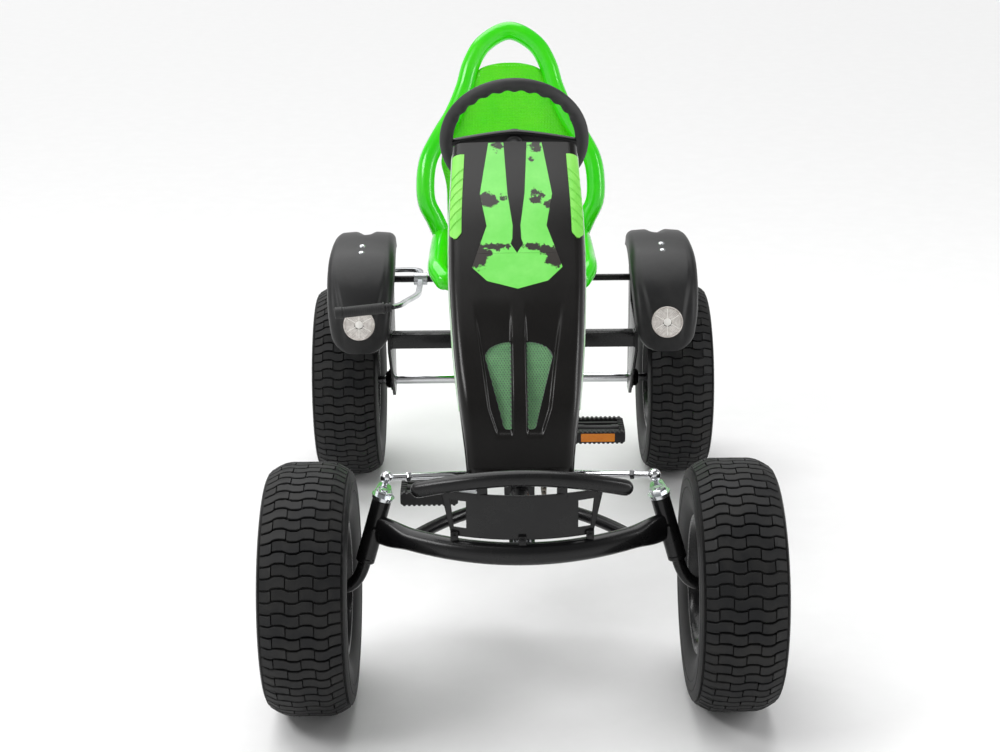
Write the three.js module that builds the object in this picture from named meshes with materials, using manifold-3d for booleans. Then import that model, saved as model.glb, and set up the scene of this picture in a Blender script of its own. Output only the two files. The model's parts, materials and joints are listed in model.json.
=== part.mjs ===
// A pedal go kart: pendulum front axle, pedal crank and chain, sliding bucket seat, hand brake.
// Millimetres, +Z up. The kart faces -Y, so the driver's left is +X. The front axle is drawn at
// Y = 0 on ground Z = 0, and the finished group is moved so that its footprint is centred.
import * as THREE from 'three';
import Module from 'manifold-3d';
import { mergeVertices } from 'three/addons/utils/BufferGeometryUtils.js';

const wasm = await Module();
wasm.setup();

// ---------------------------------------------------------------- driving dimensions
const wheelbase = 1030;
const frontHalfTrack = 331;
const rearHalfTrack = 343;
const seam = 0.3; // gap between parts that are welded, bolted or pressed together
const running = 0.5; // radial gap between a shaft and its bore

const tyreRadius = 200;
const tyreWidth = 136;
const tyreWall = 11;
const rimRadius = 102;
const rimWidth = tyreWidth - 32;
const hubRadius = 27;
const wheelSegments = 24;

const kingpinTilt = THREE.MathUtils.degToRad(16);
const kingpinX = 230; // of the housing's middle
const kingpinZ = tyreRadius + 102;
const housingLength = 100;
const housingRadius = 15;
const knuckleRadius = 10;
const armLength = 45; // steering arm and pitman arm alike
const tieBallRadius = 10.5;
const tieRodRadius = 6;

const beamRadius = 17.5;
const beamBow = 100;
const braceRadius = 10;
const braceEnd = 173;
const braceBow = 92;
const pivotZ = kingpinZ - 2;
const pivotRadius = 9;
const sleeveRadius = 17;
const sleeveRear = 124;
const sleeveFront = -38;
const bumperRadius = 12.5;
const bumperHalf = 169;
const bumperZ = kingpinZ + 123;
const bumperDrop = 33;
const plateThickness = 3;
const plateTopHalf = 124;
const plateLowHalf = 108;

const backboneFront = 150;
const backboneWidth = 50;
const backboneHeight = 50;
const backboneZ = pivotZ + 15;
const crossbarY = wheelbase - 150;
const crossbarZ = backboneZ + 20;
const crossbarSide = 30;
const axlePlateX = 247; // inner face
const axlePlateThickness = 6;
const axleRadius = 10;
const fenderRodZ = 2 * tyreRadius + 21;
const fenderRodRadius = 7;

const crankY = 362;
const crankZ = pivotZ - 25;
const crankArm = 142;
const spindleRadius = 8.5;
const spindleHalf = 60;
const pedalX = 150;
const pedalWidth = 98;
const pedalDepth = 84;
const pedalHeight = 24;
const pedalAxleRadius = 6;
const chainPitch = 12.7;
const chainringTeeth = 32;
const sprocketTeeth = 14;
const chainX = 46;
const chainHeight = 9;
const sprocketThickness = 5;

const wheelOuterRadius = 132;
const wheelRimRadius = 11;
const columnAngle = THREE.MathUtils.degToRad(27);
const wheelCentreY = 560; // steering wheel
const wheelCentreZ = kingpinZ + 501;
const couplingY = 415; // joint between the two steering shafts
const pitmanY = 91; // where the lower shaft's axis passes the tie rod plane
const pitmanZ = kingpinZ + 72;
const columnRadius = 9;
const pitmanSpread = 22;

const bonnetWall = 3;
const fenderX = 304;
const fenderWall = 3;
const fenderGap = 100; // from the tyre out to the fender's bearing pads
const seatFront = wheelbase - 218;
const seatDepth = 280;
const seatWall = 22;
const backLean = THREE.MathUtils.degToRad(15);
const bolsterRadius = 19;
const seatBottom = fenderRodZ + 31; // the rod passes under the seat
const seatRailTop = seatBottom - 48;
const seatRailWidth = 40;
const seatRailHeight = 30;
const carriageLength = 165;
const brakeX = tyreWidth / 2 + 46 - fenderX; // just inside the right fender

// ---------------------------------------------------------------- materials
const finish = (color, roughness, metalness) => new THREE.MeshStandardMaterial(
  { color, roughness, metalness },
);
const blackPaint = finish(0x0b0b0c, 0.25, 0.4);
const blackPlastic = finish(0x141414, 0.55, 0);
const gloveBlack = finish(0x1b1b1c, 0.7, 0);
const rubber = finish(0x1e1e20, 0.85, 0);
const zinc = finish(0xb9bcc0, 0.3, 0.9);
const greenPlastic = finish(0x22d400, 0.25, 0);
const paleGreen = finish(0x7be45a, 0.4, 0);
const meshGreen = finish(0x5f8f5a, 0.5, 0.2);
const clearLens = finish(0xe8e4de, 0.15, 0);
const chainSteel = finish(0x6a6660, 0.4, 0.8);

// ---------------------------------------------------------------- helpers
const v = (x, y, z) => new THREE.Vector3(x, y, z);
const v2 = (x, y) => new THREE.Vector2(x, y);
const sides = [['left', 1], ['right', -1]];

function asSolid(geometry) {
  const bare = geometry.clone();
  bare.deleteAttribute('normal');
  bare.deleteAttribute('uv');
  const merged = mergeVertices(bare, 1e-3);
  const index = merged.getIndex().array;
  const triangles = [];
  for (let i = 0; i < index.length; i += 3) {
    const [a, b, c] = [index[i], index[i + 1], index[i + 2]];
    if (a !== b && b !== c && c !== a) triangles.push(a, b, c);
  }
  const vertProperties = new Float32Array(merged.getAttribute('position').array);
  const triVerts = new Uint32Array(triangles);
  return new wasm.Manifold(new wasm.Mesh({ numProp: 3, vertProperties, triVerts }));
}

function asGeometry(solid) {
  const { vertProperties, triVerts } = solid.getMesh();
  const geometry = new THREE.BufferGeometry();
  geometry.setAttribute('position', new THREE.BufferAttribute(new Float32Array(vertProperties), 3));
  geometry.setIndex(new THREE.BufferAttribute(new Uint32Array(triVerts), 1));
  geometry.computeVertexNormals();
  return geometry;
}

const join = (...geometries) => asGeometry(geometries.map(asSolid).reduce((a, b) => a.add(b)));
const cut = (geometry, ...tools) => asGeometry(
  tools.map(asSolid).reduce((a, b) => a.subtract(b), asSolid(geometry)),
);
const common = (a, b) => asGeometry(asSolid(a).intersect(asSolid(b)));

function rod(from, to, radius, facets = 12) {
  const along = to.clone().sub(from);
  const geometry = new THREE.CylinderGeometry(radius, radius, along.length(), facets);
  const turn = new THREE.Quaternion().setFromUnitVectors(v(0, 1, 0), along.clone().normalize());
  geometry.applyQuaternion(turn);
  return geometry.translate((from.x + to.x) / 2, (from.y + to.y) / 2, (from.z + to.z) / 2);
}

// A cutter whose flats, not its corners, hold the radius, so a round part of any facet count fits.
function hole(from, to, radius, facets = 12) {
  return rod(from, to, radius / Math.cos(Math.PI / facets), facets);
}

function ring(from, to, outer, bore) {
  const reach = to.clone().sub(from).normalize();
  return cut(rod(from, to, outer, 16), hole(from.clone().sub(reach), to.clone().add(reach), bore, 16));
}

function block(width, depth, height, x, y, z) {
  return new THREE.BoxGeometry(width, depth, height).translate(x, y, z);
}

function ball(centre, radius, facets = 10) {
  return new THREE.SphereGeometry(radius, facets, facets / 2).translate(centre.x, centre.y, centre.z);
}

function polygonShape(radius, facets) {
  const corners = [];
  for (let i = 0; i < facets; i += 1) {
    const angle = (2 * Math.PI * i) / facets;
    corners.push(v2(radius * Math.cos(angle), radius * Math.sin(angle)));
  }
  return new THREE.Shape(corners);
}

function bentTube(path, radius, facets, steps) {
  return new THREE.ExtrudeGeometry(polygonShape(radius, facets), { steps, extrudePath: path });
}

// A flat outline drawn in the YZ plane, made into a plate from x to x + thickness.
function sidePlate(outline, x, thickness) {
  const geometry = new THREE.ExtrudeGeometry(outline, { depth: thickness, bevelEnabled: false });
  const toYZ = new THREE.Matrix4().makeBasis(v(0, 1, 0), v(0, 0, 1), v(1, 0, 0));
  return geometry.applyMatrix4(toYZ).translate(x, 0, 0);
}

// A flat outline drawn in the XZ plane, made into a plate from y to y + thickness.
function frontPlate(outline, y, thickness) {
  const geometry = new THREE.ExtrudeGeometry(outline, { depth: thickness, bevelEnabled: false });
  const toXZ = new THREE.Matrix4().makeBasis(v(1, 0, 0), v(0, 0, 1), v(0, -1, 0));
  return geometry.applyMatrix4(toXZ).translate(0, y + thickness, 0);
}

// A solid through matching cross-sections. Each section has flat points and a function that
// places a flat point in space.
function loft(sections) {
  const count = sections[0].points.length;
  const positions = [];
  for (const { points, place } of sections) {
    for (const point of points) positions.push(...place(point).toArray());
  }
  const index = [];
  for (let s = 0; s < sections.length - 1; s += 1) {
    for (let i = 0; i < count; i += 1) {
      const a = s * count + i;
      const b = s * count + ((i + 1) % count);
      index.push(a, b, a + count, b, b + count, a + count);
    }
  }
  const last = (sections.length - 1) * count;
  for (const [a, b, c] of capFaces(sections[0].points)) index.push(a, c, b);
  for (const [a, b, c] of capFaces(sections.at(-1).points)) index.push(last + a, last + b, last + c);
  const geometry = new THREE.BufferGeometry();
  geometry.setAttribute('position', new THREE.Float32BufferAttribute(positions, 3));
  geometry.setIndex(index);
  return facingOut(geometry);
}

// Triangulation always turns the same way, so the faces are turned to match the outline's own way.
function capFaces(points) {
  const faces = THREE.ShapeUtils.triangulateShape(points, []);
  return THREE.ShapeUtils.isClockWise(points) ? faces.map(([a, b, c]) => [a, c, b]) : faces;
}

function facingOut(geometry) {
  if (asSolid(geometry).volume() > 0) return geometry;
  const index = Array.from(geometry.getIndex().array);
  for (let i = 0; i < index.length; i += 3) [index[i], index[i + 1]] = [index[i + 1], index[i]];
  geometry.setIndex(index);
  return geometry;
}

// Places flat points (x, out) on a section that crosses a side-view curve at a station.
function sectionAt(curve, along, centreX) {
  const origin = curve.getPointAt(along);
  const tangent = curve.getTangentAt(along);
  return (p) => v(centreX + p.x, origin.x - tangent.y * p.y, origin.y + tangent.x * p.y);
}

const kart = new THREE.Group();

function add(name, geometry, material) {
  const mesh = new THREE.Mesh(geometry, material);
  mesh.name = name;
  kart.add(mesh);
}

// ---------------------------------------------------------------- wheels
function aroundX(profile, x, y, z) {
  const stretch = 1 / Math.cos(Math.PI / wheelSegments); // the flats, not the corners, hold each radius
  const closed = [...profile, profile[0]].map((p) => v2(p.x * stretch, p.y));
  const geometry = new THREE.LatheGeometry(closed, wheelSegments);
  const halfFacet = Math.PI / wheelSegments;
  return facingOut(geometry.rotateY(halfFacet).rotateZ(-Math.PI / 2).translate(x, y, z));
}

function tyre(x, y) {
  const half = tyreWidth / 2;
  const shoulder = tyreRadius - 9;
  const bead = rimRadius + seam;
  const beadHalf = rimWidth / 2 - 9;
  const outer = [
    v2(bead, beadHalf), v2(bead + 24, half - 4), v2(shoulder - 22, half), v2(shoulder, half - 13),
    v2(tyreRadius, half - 36),
  ];
  const inner = [
    v2(tyreRadius - tyreWall, half - 30), v2(bead + 24, half - 4 - tyreWall), v2(bead, beadHalf - tyreWall),
  ];
  const mirrored = (points) => points.map((p) => v2(p.x, -p.y)).reverse();
  return aroundX([...outer, ...mirrored(outer), ...mirrored(inner), ...inner], x, y, tyreRadius);
}

function rim(x, y, bore) {
  const edge = rimWidth / 2;
  const flange = rimRadius + 10;
  const well = rimRadius - 12;
  const web = 5;
  const hub = 34;
  const profile = [
    v2(flange, edge + 4), v2(rimRadius, edge - 2), v2(rimRadius, -edge + 2), v2(flange, -edge - 4),
    v2(well, -edge + 2), v2(well, -web), v2(hubRadius, -web), v2(hubRadius, -hub), v2(bore, -hub),
    v2(bore, hub), v2(hubRadius, hub), v2(hubRadius, web), v2(well, web), v2(well, edge - 2),
  ];
  return aroundX(profile, x, y, tyreRadius);
}

for (const [side, sign] of sides) {
  add(`front_tyre_${side}`, tyre(sign * frontHalfTrack, 0), rubber);
  add(`front_rim_${side}`, rim(sign * frontHalfTrack, 0, knuckleRadius + running), blackPaint);
  add(`rear_tyre_${side}`, tyre(sign * rearHalfTrack, wheelbase), rubber);
  add(`rear_rim_${side}`, rim(sign * rearHalfTrack, wheelbase, axleRadius + running), blackPaint);
}

// ---------------------------------------------------------------- front axle and steering knuckles
const kingpinUp = (sign) => v(-sign * Math.sin(kingpinTilt), 0, Math.cos(kingpinTilt));
const onKingpin = (sign, t) => v(sign * kingpinX, 0, kingpinZ).addScaledVector(kingpinUp(sign), t);
const halfHousing = housingLength / 2;
const flangeThickness = 8;
const armThickness = 6;

function knuckle(sign) {
  const low = onKingpin(sign, -halfHousing - flangeThickness - 4);
  const high = onKingpin(sign, halfHousing + armThickness + 1);
  const corner = onKingpin(sign, -(kingpinZ - tyreRadius) / Math.cos(kingpinTilt));
  const bend = 26;
  const straight = v(corner.x + sign * bend, 0, tyreRadius);
  const path = new THREE.CurvePath();
  path.add(new THREE.LineCurve3(high, low));
  path.add(new THREE.QuadraticBezierCurve3(low, corner, straight));
  path.add(new THREE.LineCurve3(straight, v(sign * (frontHalfTrack + 44), 0, tyreRadius)));
  const flangeTop = onKingpin(sign, -halfHousing - running);
  const flangeLow = onKingpin(sign, -halfHousing - flangeThickness);
  return join(bentTube(path, knuckleRadius, 10, 16), rod(flangeLow, flangeTop, housingRadius));
}

// The arm plate lies square to the kingpin and carries the tie rod's ball stud behind it.
const tieBall = (sign) => onKingpin(sign, halfHousing + armThickness + 13).add(v(0, armLength, 0));

function steeringArm(sign) {
  const up = kingpinUp(sign);
  const low = onKingpin(sign, halfHousing + running);
  const high = low.clone().addScaledVector(up, armThickness);
  const back = v(0, armLength, 0);
  const strap = block(22, armLength, armThickness, 0, armLength / 2, armThickness / 2);
  strap.rotateY(-sign * kingpinTilt).translate(low.x, low.y, low.z);
  const studTop = tieBall(sign).addScaledVector(up, -tieBallRadius - running);
  const body = join(
    rod(low, high, 16), strap, rod(low.clone().add(back), high.clone().add(back), 11),
    rod(low.clone().add(back), studTop, 4, 10),
  );
  return cut(body, hole(low.clone().sub(up), high.clone().add(up), knuckleRadius + seam));
}

for (const [side, sign] of sides) {
  const bottom = onKingpin(sign, -halfHousing);
  const top = onKingpin(sign, halfHousing);
  add(`kingpin_housing_${side}`, ring(bottom, top, housingRadius, knuckleRadius + running), blackPaint);
  add(`knuckle_${side}`, knuckle(sign), blackPaint);
  add(`steering_arm_${side}`, steeringArm(sign), zinc);
}

const bowAt = (x) => -beamBow * (1 - (x / kingpinX) ** 2);

function beamTube(grow = 0) {
  const ends = [v(-kingpinX, 0, kingpinZ), v(kingpinX, 0, kingpinZ)];
  const path = new THREE.QuadraticBezierCurve3(ends[0], v(0, -2 * beamBow, kingpinZ - 4), ends[1]);
  return bentTube(path, beamRadius + grow, 12, 18);
}

function axleBeam() {
  const reach = 90;
  const housings = sides.map(([, sign]) => hole(
    onKingpin(sign, -reach), onKingpin(sign, reach), housingRadius + seam,
  ));
  const trims = sides.map(([, sign]) => block(40, 60, 160, sign * (kingpinX + 24), 0, kingpinZ));
  return cut(beamTube(), ...housings, ...trims);
}

// The bowed brace, the pivot sleeve it crosses and the cheeks that tie the sleeve to the beam.
function axleBrace() {
  const endY = bowAt(braceEnd);
  const ends = [v(-braceEnd, endY, pivotZ), v(braceEnd, endY, pivotZ)];
  const path = new THREE.QuadraticBezierCurve3(ends[0], v(0, 2 * braceBow - endY, pivotZ), ends[1]);
  const sleeve = rod(v(0, sleeveFront, pivotZ), v(0, sleeveRear, pivotZ), sleeveRadius, 20);
  const cheekFront = -beamBow;
  const cheekRear = sleeveFront + 30;
  const cheeks = sides.map(([, sign]) => block(
    4, cheekRear - cheekFront, 24, sign * (sleeveRadius + 1), (cheekFront + cheekRear) / 2, pivotZ,
  ));
  const bore = hole(v(0, sleeveFront - 10, pivotZ), v(0, sleeveRear + 10, pivotZ), pivotRadius + running, 20);
  return cut(join(bentTube(path, braceRadius, 10, 14), sleeve, ...cheeks), beamTube(seam), bore);
}

function bumperPlate() {
  const top = bumperZ - bumperRadius - 18;
  const low = kingpinZ + beamRadius + 3;
  const outline = new THREE.Shape([
    v2(-plateLowHalf, low), v2(plateLowHalf, low), v2(plateTopHalf, top), v2(-plateTopHalf, top),
  ]);
  const windowPoints = [v2(85, low + 14), v2(103, low + 14), v2(111, top - 14), v2(85, top - 14)];
  const windows = sides.map(([, sign]) => {
    const points = windowPoints.map((p) => v2(sign * p.x, p.y));
    return frontPlate(new THREE.Shape(sign > 0 ? points : points.reverse()), -200, 260);
  });
  const band = [];
  for (let x = -140; x <= 140; x += 20) band.push(v2(x, bowAt(x)));
  const back = band.map((p) => v2(p.x, p.y + plateThickness)).reverse();
  const strip = new THREE.Shape([...band, ...back]);
  const curved = new THREE.ExtrudeGeometry(strip, { depth: 200, bevelEnabled: false });
  curved.translate(0, 0, kingpinZ);
  const plate = cut(common(curved, frontPlate(outline, -200, 260)), ...windows);
  const feet = [-103, 0, 103].map((x) => block(18, 14, 18, x, bowAt(x) + 1, low));
  const hangers = [-60, 60].map((x) => block(16, plateThickness, 26, x, bowAt(x) + 1, top + 6));
  return cut(join(plate, ...feet, ...hangers), beamTube(seam), bumperBar(seam));
}

function bumperBar(grow = 0) {
  const end = (sign) => v(sign * bumperHalf, bowAt(bumperHalf) - 22, bumperZ - bumperDrop);
  const middle = v(0, -beamBow - 5, bumperZ);
  const control = (sign) => v(sign * 70, -beamBow - 5, bumperZ);
  const path = new THREE.CurvePath();
  path.add(new THREE.QuadraticBezierCurve3(end(-1), control(-1), middle));
  path.add(new THREE.QuadraticBezierCurve3(middle, control(1), end(1)));
  return bentTube(path, bumperRadius + grow, 12, 14);
}

add('axle_beam', axleBeam(), blackPaint);
add('axle_brace', axleBrace(), blackPaint);
add('bumper_plate', bumperPlate(), blackPaint);
add('bumper_bar', bumperBar(), blackPaint);

// ---------------------------------------------------------------- steering column and tie rods
const columnUp = v(0, Math.cos(columnAngle), Math.sin(columnAngle));
const onColumn = (y) => v(0, y, wheelCentreZ - (wheelCentreY - y) * Math.tan(columnAngle));
const coupling = onColumn(couplingY);
const pitmanFoot = v(0, pitmanY, pitmanZ);
const lowerUp = coupling.clone().sub(pitmanFoot).normalize();
const onLower = (t) => pitmanFoot.clone().addScaledVector(lowerUp, t);
const pitmanDown = v(0, lowerUp.z, -lowerUp.y);
const couplingRadius = 14;
const pitmanEnd = (sign) => onLower(0)
  .addScaledVector(pitmanDown, armLength).add(v(sign * pitmanSpread, 0, 0));

function steeringWheel() {
  const ringRadius = wheelOuterRadius - wheelRimRadius;
  const rimTorus = new THREE.TorusGeometry(ringRadius, wheelRimRadius, 8, 30);
  const spokeShape = new THREE.Shape([v2(-ringRadius, -8), v2(ringRadius, -8), v2(ringRadius, 10), v2(60, 16),
    v2(0, 20), v2(-60, 16), v2(-ringRadius, 10)]);
  const spoke = new THREE.ExtrudeGeometry(spokeShape, { depth: 14, bevelEnabled: false }).translate(0, 0, -7);
  const stem = block(30, ringRadius, 10, 0, -ringRadius / 2, 0);
  const boss = new THREE.CylinderGeometry(26, 30, 30, 14).rotateX(Math.PI / 2).translate(0, 0, 8);
  const wheel = join(rimTorus, spoke, stem, boss).rotateX(Math.PI / 2 + columnAngle);
  return wheel.translate(0, wheelCentreY, wheelCentreZ);
}

function steeringShaft() {
  const top = onColumn(wheelCentreY).addScaledVector(columnUp, -23 - 2 * seam);
  const cupRadius = couplingRadius + 7;
  const shaft = rod(coupling.clone().addScaledVector(columnUp, couplingRadius + 2), top, columnRadius);
  const cup = join(shaft, ball(coupling, cupRadius, 12));
  const mouthFar = coupling.clone().addScaledVector(columnUp, -40);
  const mouthNear = coupling.clone().addScaledVector(columnUp, -2);
  return cut(cup, ball(coupling, couplingRadius + 1, 12), rod(mouthFar, mouthNear, 40, 8));
}

function steeringLowerShaft() {
  const plateLow = onLower(13);
  const plateHigh = onLower(19);
  const shaft = rod(plateLow, coupling, columnRadius);
  const ears = sides.map(([, sign]) => {
    const end = pitmanEnd(sign).addScaledVector(lowerUp, 13);
    return rod(end, end.clone().addScaledVector(lowerUp, 6), 9);
  });
  const web = block(2 * pitmanSpread, armLength, 6, 0, armLength / 2, 3);
  web.rotateX(Math.atan2(-lowerUp.y, lowerUp.z)).translate(plateLow.x, plateLow.y, plateLow.z);
  return join(rod(plateLow, plateHigh, 18), shaft, ball(coupling, couplingRadius), web, ...ears);
}

function tieRod(sign) {
  const outer = tieBall(sign);
  const inner = pitmanEnd(sign);
  const along = inner.clone().sub(outer);
  const length = along.length();
  const dir = along.normalize();
  const at = (t) => outer.clone().addScaledVector(dir, t);
  return join(
    ball(outer, tieBallRadius), rod(at(0), at(40), 4.5, 10), rod(at(34), at(42), 8, 6),
    rod(at(42), at(length - 16), tieRodRadius, 12),
  );
}

add('steering_wheel', steeringWheel(), gloveBlack);
add('steering_shaft', steeringShaft(), zinc);
add('steering_lower_shaft', steeringLowerShaft(), zinc);
for (const [side, sign] of sides) add(`tie_rod_${side}`, tieRod(sign), zinc);

// ---------------------------------------------------------------- frame
function lyingTube(y, z, fromX, toX, radius, facets = 12) {
  return rod(v(fromX, y, z), v(toX, y, z), radius, facets);
}

function lyingHole(y, z, reach, radius) {
  return hole(v(-reach, y, z), v(reach, y, z), radius);
}

function backbone() {
  const rear = crossbarY - crossbarSide / 2 - seam;
  const length = rear - backboneFront;
  const beam = block(backboneWidth, length, backboneHeight, 0, (rear + backboneFront) / 2, backboneZ);
  const pin = rod(v(0, backboneFront + 10, pivotZ), v(0, sleeveFront - 14, pivotZ), pivotRadius, 20);
  const collar = rod(v(0, backboneFront + 2, pivotZ), v(0, sleeveRear + 3, pivotZ), sleeveRadius - 3);
  const shell = lyingTube(crankY, crankZ, -34, 34, 22, 20);
  const bore = hole(v(-50, crankY, crankZ), v(50, crankY, crankZ), spindleRadius + running, 20);
  return cut(join(beam, pin, collar, shell), bore);
}

function axlePlateOutline() {
  const half = crossbarSide / 2 + 4;
  return new THREE.Shape([
    v2(crossbarY - half, crossbarZ - half), v2(wheelbase - 22, tyreRadius - 28),
    v2(wheelbase + 22, tyreRadius - 28), v2(wheelbase + 24, fenderRodZ + 18),
    v2(wheelbase - 20, fenderRodZ + 18), v2(wheelbase - 34, crossbarZ + 45),
    v2(crossbarY - half, crossbarZ + half),
  ]);
}

const bearingRadius = 23;
const bearingLength = 15;

function axlePlate(sign) {
  const inner = sign > 0 ? axlePlateX : -axlePlateX - axlePlateThickness;
  const reach = axlePlateX + 40;
  return cut(
    sidePlate(axlePlateOutline(), inner, axlePlateThickness),
    lyingHole(wheelbase, tyreRadius, reach, axleRadius + 4),
    lyingHole(wheelbase, fenderRodZ, reach, fenderRodRadius + seam),
  );
}

function rearBearing(sign) {
  const inner = sign * (axlePlateX + axlePlateThickness + seam);
  return ring(v(inner, wheelbase, tyreRadius), v(inner + sign * bearingLength, wheelbase, tyreRadius),
    bearingRadius, axleRadius + running);
}

const fenderSeatZ = 2 * tyreRadius + fenderGap; // underside of the fender where its bracket bears
const fenderSeatY = wheelbase - 4;

function fenderRod() {
  const reach = fenderX + 8;
  const posts = sides.map(([, sign]) => rod(
    v(sign * fenderX, wheelbase, fenderRodZ),
    v(sign * fenderX, fenderSeatY, fenderSeatZ - 4),
    fenderRodRadius,
  ));
  const pads = sides.map(([, sign]) => block(44, 56, 5, sign * fenderX, fenderSeatY, fenderSeatZ - 4));
  return join(lyingTube(wheelbase, fenderRodZ, -reach, reach, fenderRodRadius, 12), ...posts, ...pads);
}

add('frame_backbone', backbone(), blackPaint);
const crossbarLength = 2 * (axlePlateX - seam);
add('rear_crossbar', block(crossbarLength, crossbarSide, crossbarSide, 0, crossbarY, crossbarZ), blackPaint);
for (const [side, sign] of sides) {
  add(`axle_plate_${side}`, axlePlate(sign), blackPaint);
  add(`rear_bearing_${side}`, rearBearing(sign), blackPaint);
}
add('fender_rod', fenderRod(), blackPaint);
add('pivot_nut', rod(v(0, sleeveFront - 14 - seam, pivotZ), v(0, sleeveFront - 24, pivotZ), 13, 6), zinc);

// The post holds the upper column bearing and the bonnet; the bracket holds the lower bearing.
const bearingAt = onColumn(472);
const lowerBearingAt = onLower(75);

function columnPost() {
  const foot = v(0, 300, backboneZ + backboneHeight / 2 + seam);
  const post = rod(foot.clone().add(v(0, -6, -20)), bearingAt, 14);
  const eyeHalf = columnUp.clone().multiplyScalar(16);
  const eye = rod(bearingAt.clone().sub(eyeHalf), bearingAt.clone().add(eyeHalf), 19);
  const saddle = block(150, 24, 8, 0, bearingAt.y, bearingAt.z - 32);
  const under = block(200, 200, 100, 0, foot.y, foot.z - 50);
  const shaft = hole(onColumn(300), onColumn(600), columnRadius + running);
  return cut(join(post, eye, saddle), under, shaft);
}

function columnBracket() {
  const foot = v(0, lowerBearingAt.y + 30, backboneZ + backboneHeight / 2 + seam);
  const strut = block(30, 12, lowerBearingAt.z - foot.z, 0, foot.y, (lowerBearingAt.z + foot.z) / 2);
  const neck = rod(lowerBearingAt, v(0, foot.y, lowerBearingAt.z - 6), 6, 8);
  const eye = rod(onLower(65), onLower(85), 16);
  return cut(join(strut, neck, eye), hole(onLower(40), onLower(120), columnRadius + running));
}

add('column_post', columnPost(), blackPaint);
add('column_bracket', columnBracket(), blackPaint);

// ---------------------------------------------------------------- bonnet
// Side view of the top: points are (y, z). Width, side depth and shoulder change along it.
const bonnetNose = v2(60, pivotZ + 73);
const bonnetTail = v2(wheelCentreY - 85, wheelCentreZ + 12);
// Shares of the way from nose to tail, lengthwise and upwards.
const bonnetRise = [
  [0, 0], [0.108, 0.231], [0.241, 0.38], [0.398, 0.525], [0.578, 0.679], [0.759, 0.826], [1, 1],
];
const bonnetTop = new THREE.CatmullRomCurve3(bonnetRise.map(([back, up]) => v(
  THREE.MathUtils.lerp(bonnetNose.x, bonnetTail.x, back),
  THREE.MathUtils.lerp(bonnetNose.y, bonnetTail.y, up),
  0,
)));
// Half width and side depth, as [share of the length, value] pairs joined by straight lines.
const bonnetHalf = [[0, 82], [0.08, 89], [0.2, 97], [0.34, 105], [0.55, 112], [0.74, 113], [1, 107]];
const bonnetDeep = [[0, 10], [0.08, 16], [0.2, 44], [0.34, 66], [0.55, 76], [1, 70]];
const bonnetCuts = [0, 0.08, 0.14, 0.2, 0.27, 0.34, 0.44, 0.55, 0.66, 0.74, 0.82, 0.9, 0.97, 1];
const ventCuts = bonnetCuts.filter((at) => at >= 0.66 && at <= 0.97);

function along(pairs, at) {
  const next = Math.max(1, pairs.findIndex(([share]) => share >= at));
  const [[shareA, a], [shareB, b]] = [pairs[next - 1], pairs[next]];
  return THREE.MathUtils.lerp(a, b, (at - shareA) / (shareB - shareA));
}

const shoulder = 15;

function bonnetOutline(at, inset) {
  const half = along(bonnetHalf, at);
  const deep = along(bonnetDeep, at);
  const side = half - inset;
  const edge = half - shoulder - inset * 0.5;
  const drop = Math.min(shoulder, deep * 0.6);
  return [v2(-side, -deep), v2(-side + 3, -drop), v2(-edge, -inset), v2(0, 4 - inset), v2(edge, -inset),
    v2(side - 3, -drop), v2(side, -deep)];
}

function bonnetSection(at, hollow) {
  const outer = bonnetOutline(at, 0);
  const inner = bonnetOutline(at, bonnetWall).reverse();
  return { points: hollow ? [...outer, ...inner] : outer, place: sectionAt(bonnetTop, at, 0) };
}

const wheelClearance = 32; // from the steering wheel's plane forward to the bonnet's rear edge
const grilleTop = 0.345; // share of the bonnet's length from the nose
const grilleLow = 0.105;

function grilleShape(sign, inset) {
  const length = bonnetTop.getLength() * (grilleTop - grilleLow);
  const low = inset;
  const high = length - inset;
  const near = 12 + inset;
  const far = 55 - inset;
  const shape = new THREE.Shape();
  shape.moveTo(sign * near, low);
  shape.lineTo(sign * (far - 34), low);
  shape.lineTo(sign * (far - 28), low + 8);
  shape.lineTo(sign * far, high - 26);
  shape.quadraticCurveTo(sign * (far - 8), high, sign * (near + 12), high);
  shape.lineTo(sign * near, high);
  return shape;
}

// A plate in the bonnet's local slope, from depth to depth + thick measured outwards.
function onBonnet(shape, at, depth, thick) {
  const origin = bonnetTop.getPointAt(at);
  const chord = bonnetTop.getPointAt(grilleTop).sub(origin).normalize();
  const up = v(0, chord.x, chord.y);
  const out = v(0, -chord.y, chord.x);
  const plate = new THREE.ExtrudeGeometry(shape, { depth: thick, bevelEnabled: false, curveSegments: 5 });
  plate.translate(0, 0, depth);
  plate.applyMatrix4(new THREE.Matrix4().makeBasis(v(1, 0, 0), up, out));
  return plate.translate(0, origin.x, origin.y);
}

function bonnet() {
  const shell = loft(bonnetCuts.map((at) => bonnetSection(at, true)));
  const nose = loft([0, 0.012].map((at) => bonnetSection(at, false)));
  const holes = sides.map(([, sign]) => onBonnet(grilleShape(sign, 0), grilleLow, -20, 40));
  const behindWheel = block(400, 300, 600, 0, 150 - wheelClearance, 0).rotateX(columnAngle);
  return cut(join(shell, nose), ...holes, behindWheel.translate(0, wheelCentreY, wheelCentreZ));
}

// A ribbed insert lying just off the bonnet's shoulder.
function sideVent(sign) {
  const out = v2(0.78, 0.62);
  const sections = ventCuts.map((at) => {
    const half = along(bonnetHalf, at);
    const upper = v2(half - shoulder + 1.5, -1).addScaledVector(out, 2 * seam);
    const lower = v2(half - 4.5, -shoulder + 2.5).addScaledVector(out, 2 * seam);
    const raised = [lower, upper].map((p) => p.clone().addScaledVector(out, 2));
    const points = [upper, lower, ...raised];
    return { points: points.map((p) => v2(sign * p.x, p.y)), place: sectionAt(bonnetTop, at, 0) };
  });
  return loft(sections);
}

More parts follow.
